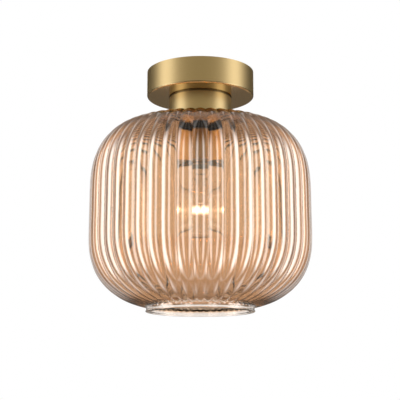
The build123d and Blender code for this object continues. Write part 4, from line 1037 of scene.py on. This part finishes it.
@dataclass
class Studio:
    """Soft light from both sides, a plain room round it and a pale floor far below.

    Azimuths are in degrees, from the front of the light towards either side. Heights in the room are the
    upward part of a unit direction. Where a tone has two, it starts at the first and is full at the second.
    """

    box_distance: float = 1.6
    box_azimuth: float = 80.0
    box_rise: float = 0.1
    box_width: float = 0.8
    box_height: float = 1.8
    box_power: float = 13.0
    aim: tuple[float, float, float] = (0.0, 0.0, -0.13)
    panels: tuple[Panel, ...] = (
        # The soft boxes, as the satin brass shows them
        Panel(azimuth=78.0, half_width=17.0, edge=10.0, in_satin=1.35, in_glass=0.0),
        # The same boxes in the glass
        Panel(azimuth=81.0, half_width=15.0, edge=24.0, in_satin=0.0, in_glass=3.7),
        # Narrow strips in front, for the streaks at the middle
        Panel(azimuth=28.0, half_width=8.0, edge=14.0, in_satin=0.0, in_glass=2.0),
        # Dim panels behind, for the pale reeds at the sides
        Panel(azimuth=138.0, half_width=14.0, edge=20.0, in_satin=0.0, in_glass=1.2),
    )
    fades: tuple[Fade, ...] = (Fade(0.45, 0.85, 0.1), Fade(-0.6, -0.9, 0.15))
    front_tone: str = "A39C88"
    overhead_tone: str = "48423A"
    low_tone: str = "6A625A"
    dark_tone: str = "12100E"
    mirrored_dark_tone: str = "8E857C"
    back_tone: str = "E8E6E2"
    overhead_heights: tuple[float, float] = (0.45, 0.75)
    low_heights: tuple[float, float] = (0.1, -0.2)
    dark_azimuths: tuple[float, float] = (94.0, 114.0)
    back_azimuths: tuple[float, float] = (166.0, 176.0)
    soft_light_below: float = 0.51
    soft_light_above: float = 0.69
    floor_height: float = -2.2
    floor_side: float = 9.0
    floor_tone: str = "F2F1EE"
    floor_pale_tone: str = "F6F5F2"
    floor_mottle_mm: float = 333.3
    floor_roughness: float = 0.8
    floor_lift: float = 0.42

    def soft_boxes(self) -> None:
        """Makes the two soft boxes; they aren't seen, and in gloss the room's panels stand for them."""
        turn = math.radians(self.box_azimuth)
        aim = Vector(self.aim)
        for side in (1, -1):
            data = bpy.data.lights.new("soft_box", "AREA")
            data.shape = "RECTANGLE"
            data.size = self.box_width
            data.size_y = self.box_height
            data.energy = self.box_power
            box = bpy.data.objects.new("soft_box", data)
            way = Vector((side * math.sin(turn), -math.cos(turn), self.box_rise))
            box.location = aim + self.box_distance * way
            box.rotation_euler = (aim - box.location).to_track_quat("-Z", "Y").to_euler()
            box.visible_camera = False
            box.visible_transmission = False
            box.visible_glossy = False
            bpy.context.scene.collection.objects.link(box)
            LOG.info("soft box: %s side", "right" if side > 0 else "left")

    def panel_light(
        self, tree: bpy.types.NodeTree, azimuth: bpy.types.NodeSocket, sharp: bpy.types.NodeSocket,
        panel: Panel,
    ) -> bpy.types.NodeSocket:
        """The light of one pair of panels.

        Args:
            tree: the world's tree.
            azimuth: the azimuth of the direction looked in.
            sharp: 1 where the direction comes from a mirror-sharp surface, else 0.
            panel: the panel's place and strengths.

        Returns:
            The light from the direction looked in.
        """
        off = add(tree, "ShaderNodeMath", {
            0: azimuth, 1: math.radians(panel.azimuth),
        }, operation="SUBTRACT").outputs[0]
        off = add(tree, "ShaderNodeMath", {0: off}, operation="ABSOLUTE").outputs[0]
        inner, outer = [math.radians(panel.half_width + side * panel.edge / 2) for side in (-1, 1)]
        shape = add(tree, "ShaderNodeMapRange", {
            "Value": off, "From Min": inner, "From Max": outer, "To Min": 1.0, "To Max": 0.0,
        }, interpolation_type="SMOOTHSTEP").outputs[0]
        strength = add(tree, "ShaderNodeMix", {0: sharp, 2: panel.in_satin, 3: panel.in_glass}).outputs[0]
        return add(tree, "ShaderNodeMath", {0: shape, 1: strength}, operation="MULTIPLY").outputs[0]

    def gloss_room(self, tree: bpy.types.NodeTree) -> bpy.types.NodeSocket:
        """The room as gloss shows it: grey in front, soft panels, dark behind them, pale at the back.

        Args:
            tree: the world's tree.

        Returns:
            The colour by direction.
        """
        way = add(tree, "ShaderNodeTexCoord").outputs["Generated"]
        parts = add(tree, "ShaderNodeSeparateXYZ", {0: way}).outputs
        front = add(tree, "ShaderNodeMath", {0: parts["Y"], 1: -1.0}, operation="MULTIPLY").outputs[0]
        side = add(tree, "ShaderNodeMath", {0: parts["X"]}, operation="ABSOLUTE").outputs[0]
        azimuth = add(tree, "ShaderNodeMath", {0: side, 1: front}, operation="ARCTAN2").outputs[0]
        sharp = add(tree, "ShaderNodeLightPath").outputs["Is Singular Ray"]
        dark = add(tree, "ShaderNodeMix", {
            0: sharp, 6: linear(self.dark_tone), 7: linear(self.mirrored_dark_tone),
        }, data_type="RGBA").outputs[2]
        changes = (
            (parts["Z"], self.overhead_heights, linear(self.overhead_tone)),
            (azimuth, [math.radians(turn) for turn in self.dark_azimuths], dark),
            (azimuth, [math.radians(turn) for turn in self.back_azimuths], linear(self.back_tone)),
            (parts["Z"], self.low_heights, linear(self.low_tone)),
        )
        room = linear(self.front_tone)
        for value, (start, end), tone in changes:
            share = add(tree, "ShaderNodeMapRange", {
                "Value": value, "From Min": start, "From Max": end,
            }, interpolation_type="SMOOTHSTEP").outputs[0]
            room = add(tree, "ShaderNodeMix", {0: share, 6: room, 7: tone}, data_type="RGBA").outputs[2]
        light = 0.0
        for panel in self.panels:
            more = self.panel_light(tree, azimuth, sharp, panel)
            light = add(tree, "ShaderNodeMath", {0: light, 1: more}, operation="ADD").outputs[0]
        for fade in self.fades:
            share = add(tree, "ShaderNodeMapRange", {
                "Value": parts["Z"], "From Min": fade.start, "From Max": fade.end,
                "To Min": 1.0, "To Max": fade.share,
            }, interpolation_type="SMOOTHSTEP").outputs[0]
            light = add(tree, "ShaderNodeMath", {0: light, 1: share}, operation="MULTIPLY").outputs[0]
        return add(tree, "ShaderNodeVectorMath", {0: room, 1: light}, operation="ADD").outputs[0]

    def soft_room(self, tree: bpy.types.NodeTree) -> bpy.types.NodeSocket:
        """The even light that the room gives to matt surfaces, a little stronger from above."""
        way = add(tree, "ShaderNodeTexCoord").outputs["Generated"]
        height = add(tree, "ShaderNodeSeparateXYZ", {0: way}).outputs["Z"]
        return add(tree, "ShaderNodeMapRange", {
            "Value": height, "From Min": -1.0, "From Max": 1.0,
            "To Min": self.soft_light_below, "To Max": self.soft_light_above,
        }).outputs[0]

    def room(self) -> None:
        """Makes the world: white behind the object and through its glass, the plain room in its gloss."""
        world = bpy.data.worlds.new("studio room")
        bpy.context.scene.world = world
        world.use_nodes = True
        tree = world.node_tree
        tree.nodes.clear()
        output = add(tree, "ShaderNodeOutputWorld")
        gloss = self.gloss_room(tree)
        soft = self.soft_room(tree)
        path = add(tree, "ShaderNodeLightPath").outputs
        matt, mirrored = [
            add(tree, "ShaderNodeMath", {0: path[depth], 1: 0.5}, operation="GREATER_THAN").outputs[0]
            for depth in ("Diffuse Depth", "Glossy Depth")
        ]
        bounced = add(tree, "ShaderNodeMath", {0: matt, 1: mirrored}, operation="MAXIMUM").outputs[0]
        unbroken = add(tree, "ShaderNodeMath", {
            0: path["Is Camera Ray"], 1: path["Is Transmission Ray"],
        }, operation="MAXIMUM").outputs[0]
        glossy, straight = [
            add(tree, "ShaderNodeMath", {0: kind, 1: out}, operation="SUBTRACT", use_clamp=True).outputs[0]
            for kind, out in ((path["Is Glossy Ray"], matt), (unbroken, bounced))
        ]
        seen = add(tree, "ShaderNodeMix", {0: glossy, 6: soft, 7: gloss}, data_type="RGBA").outputs[2]
        white = (1.0, 1.0, 1.0, 1.0)
        seen = add(tree, "ShaderNodeMix", {0: straight, 6: seen, 7: white}, data_type="RGBA").outputs[2]
        background = add(tree, "ShaderNodeBackground", {"Color": seen, "Strength": 1.0})
        tree.links.new(background.outputs[0], output.inputs["Surface"])
        LOG.info("studio room: %d pairs of panels", len(self.panels))

    def floor_material(self) -> bpy.types.Material:
        """The floor's finish: pale and matt, lifted to white where it is seen, but for the shadow."""
        material = bpy.data.materials.new("pale studio floor")
        material.use_nodes = True
        tree = material.node_tree
        tree.nodes.clear()
        output = add(tree, "ShaderNodeOutputMaterial")
        place = add(tree, "ShaderNodeTexCoord").outputs["Object"]
        mottle = add(tree, "ShaderNodeTexNoise", {
            "Vector": place, "Scale": 1 / (self.floor_mottle_mm * MM), "Detail": 4.0,
        }).outputs["Fac"]
        tone = add(tree, "ShaderNodeMix", {
            0: mottle, 6: linear(self.floor_tone), 7: linear(self.floor_pale_tone),
        }, data_type="RGBA").outputs[2]
        matt = add(tree, "ShaderNodeBsdfPrincipled", {
            "Base Color": tone, "Roughness": self.floor_roughness, "Specular IOR Level": 0.0,
        })
        path = add(tree, "ShaderNodeLightPath").outputs
        seen = add(tree, "ShaderNodeMath", {
            0: path["Is Camera Ray"], 1: path["Is Transmission Ray"],
        }, operation="MAXIMUM").outputs[0]
        lift = add(tree, "ShaderNodeEmission", {"Color": (1.0, 1.0, 1.0, 1.0), "Strength": self.floor_lift})
        both = add(tree, "ShaderNodeAddShader", {0: matt.outputs[0], 1: lift.outputs[0]})
        mixed = add(tree, "ShaderNodeMixShader", {0: seen, 1: matt.outputs[0], 2: both.outputs[0]})
        tree.links.new(mixed.outputs[0], output.inputs["Surface"])
        return material

    def floor(self) -> None:
        """Makes the pale floor, far below as in a room."""
        half = self.floor_side / 2
        places = ((-half, -half), (half, -half), (half, half), (-half, half))
        corners = [(x, y, self.floor_height) for x, y in places]
        mesh = bpy.data.meshes.new("floor")
        mesh.from_pydata(corners, [], [(0, 1, 2, 3)])
        floor = bpy.data.objects.new("floor", mesh)
        bpy.context.scene.collection.objects.link(floor)
        dress(floor, self.floor_material())
        floor.visible_glossy = False
        LOG.info("floor: %.1f m square", self.floor_side)

    def build(self) -> None:
        """Makes the studio."""
        self.soft_boxes()
        self.room()
        self.floor()
        bpy.context.scene.view_settings.view_transform = "Standard"


def main() -> None:
    """Builds the light and the studio round it."""
    logging.basicConfig(level=logging.INFO, format="%(name)s: %(message)s")
    workshop = Workshop()
    workshop.dress_nodes(frame["record"], frame["nodes"])
    GlassShade().build(workshop)
    Bulb().build(workshop, frame["nodes"])
    Studio().build()
    Camera().build()


if __name__ == "__main__":
    main()
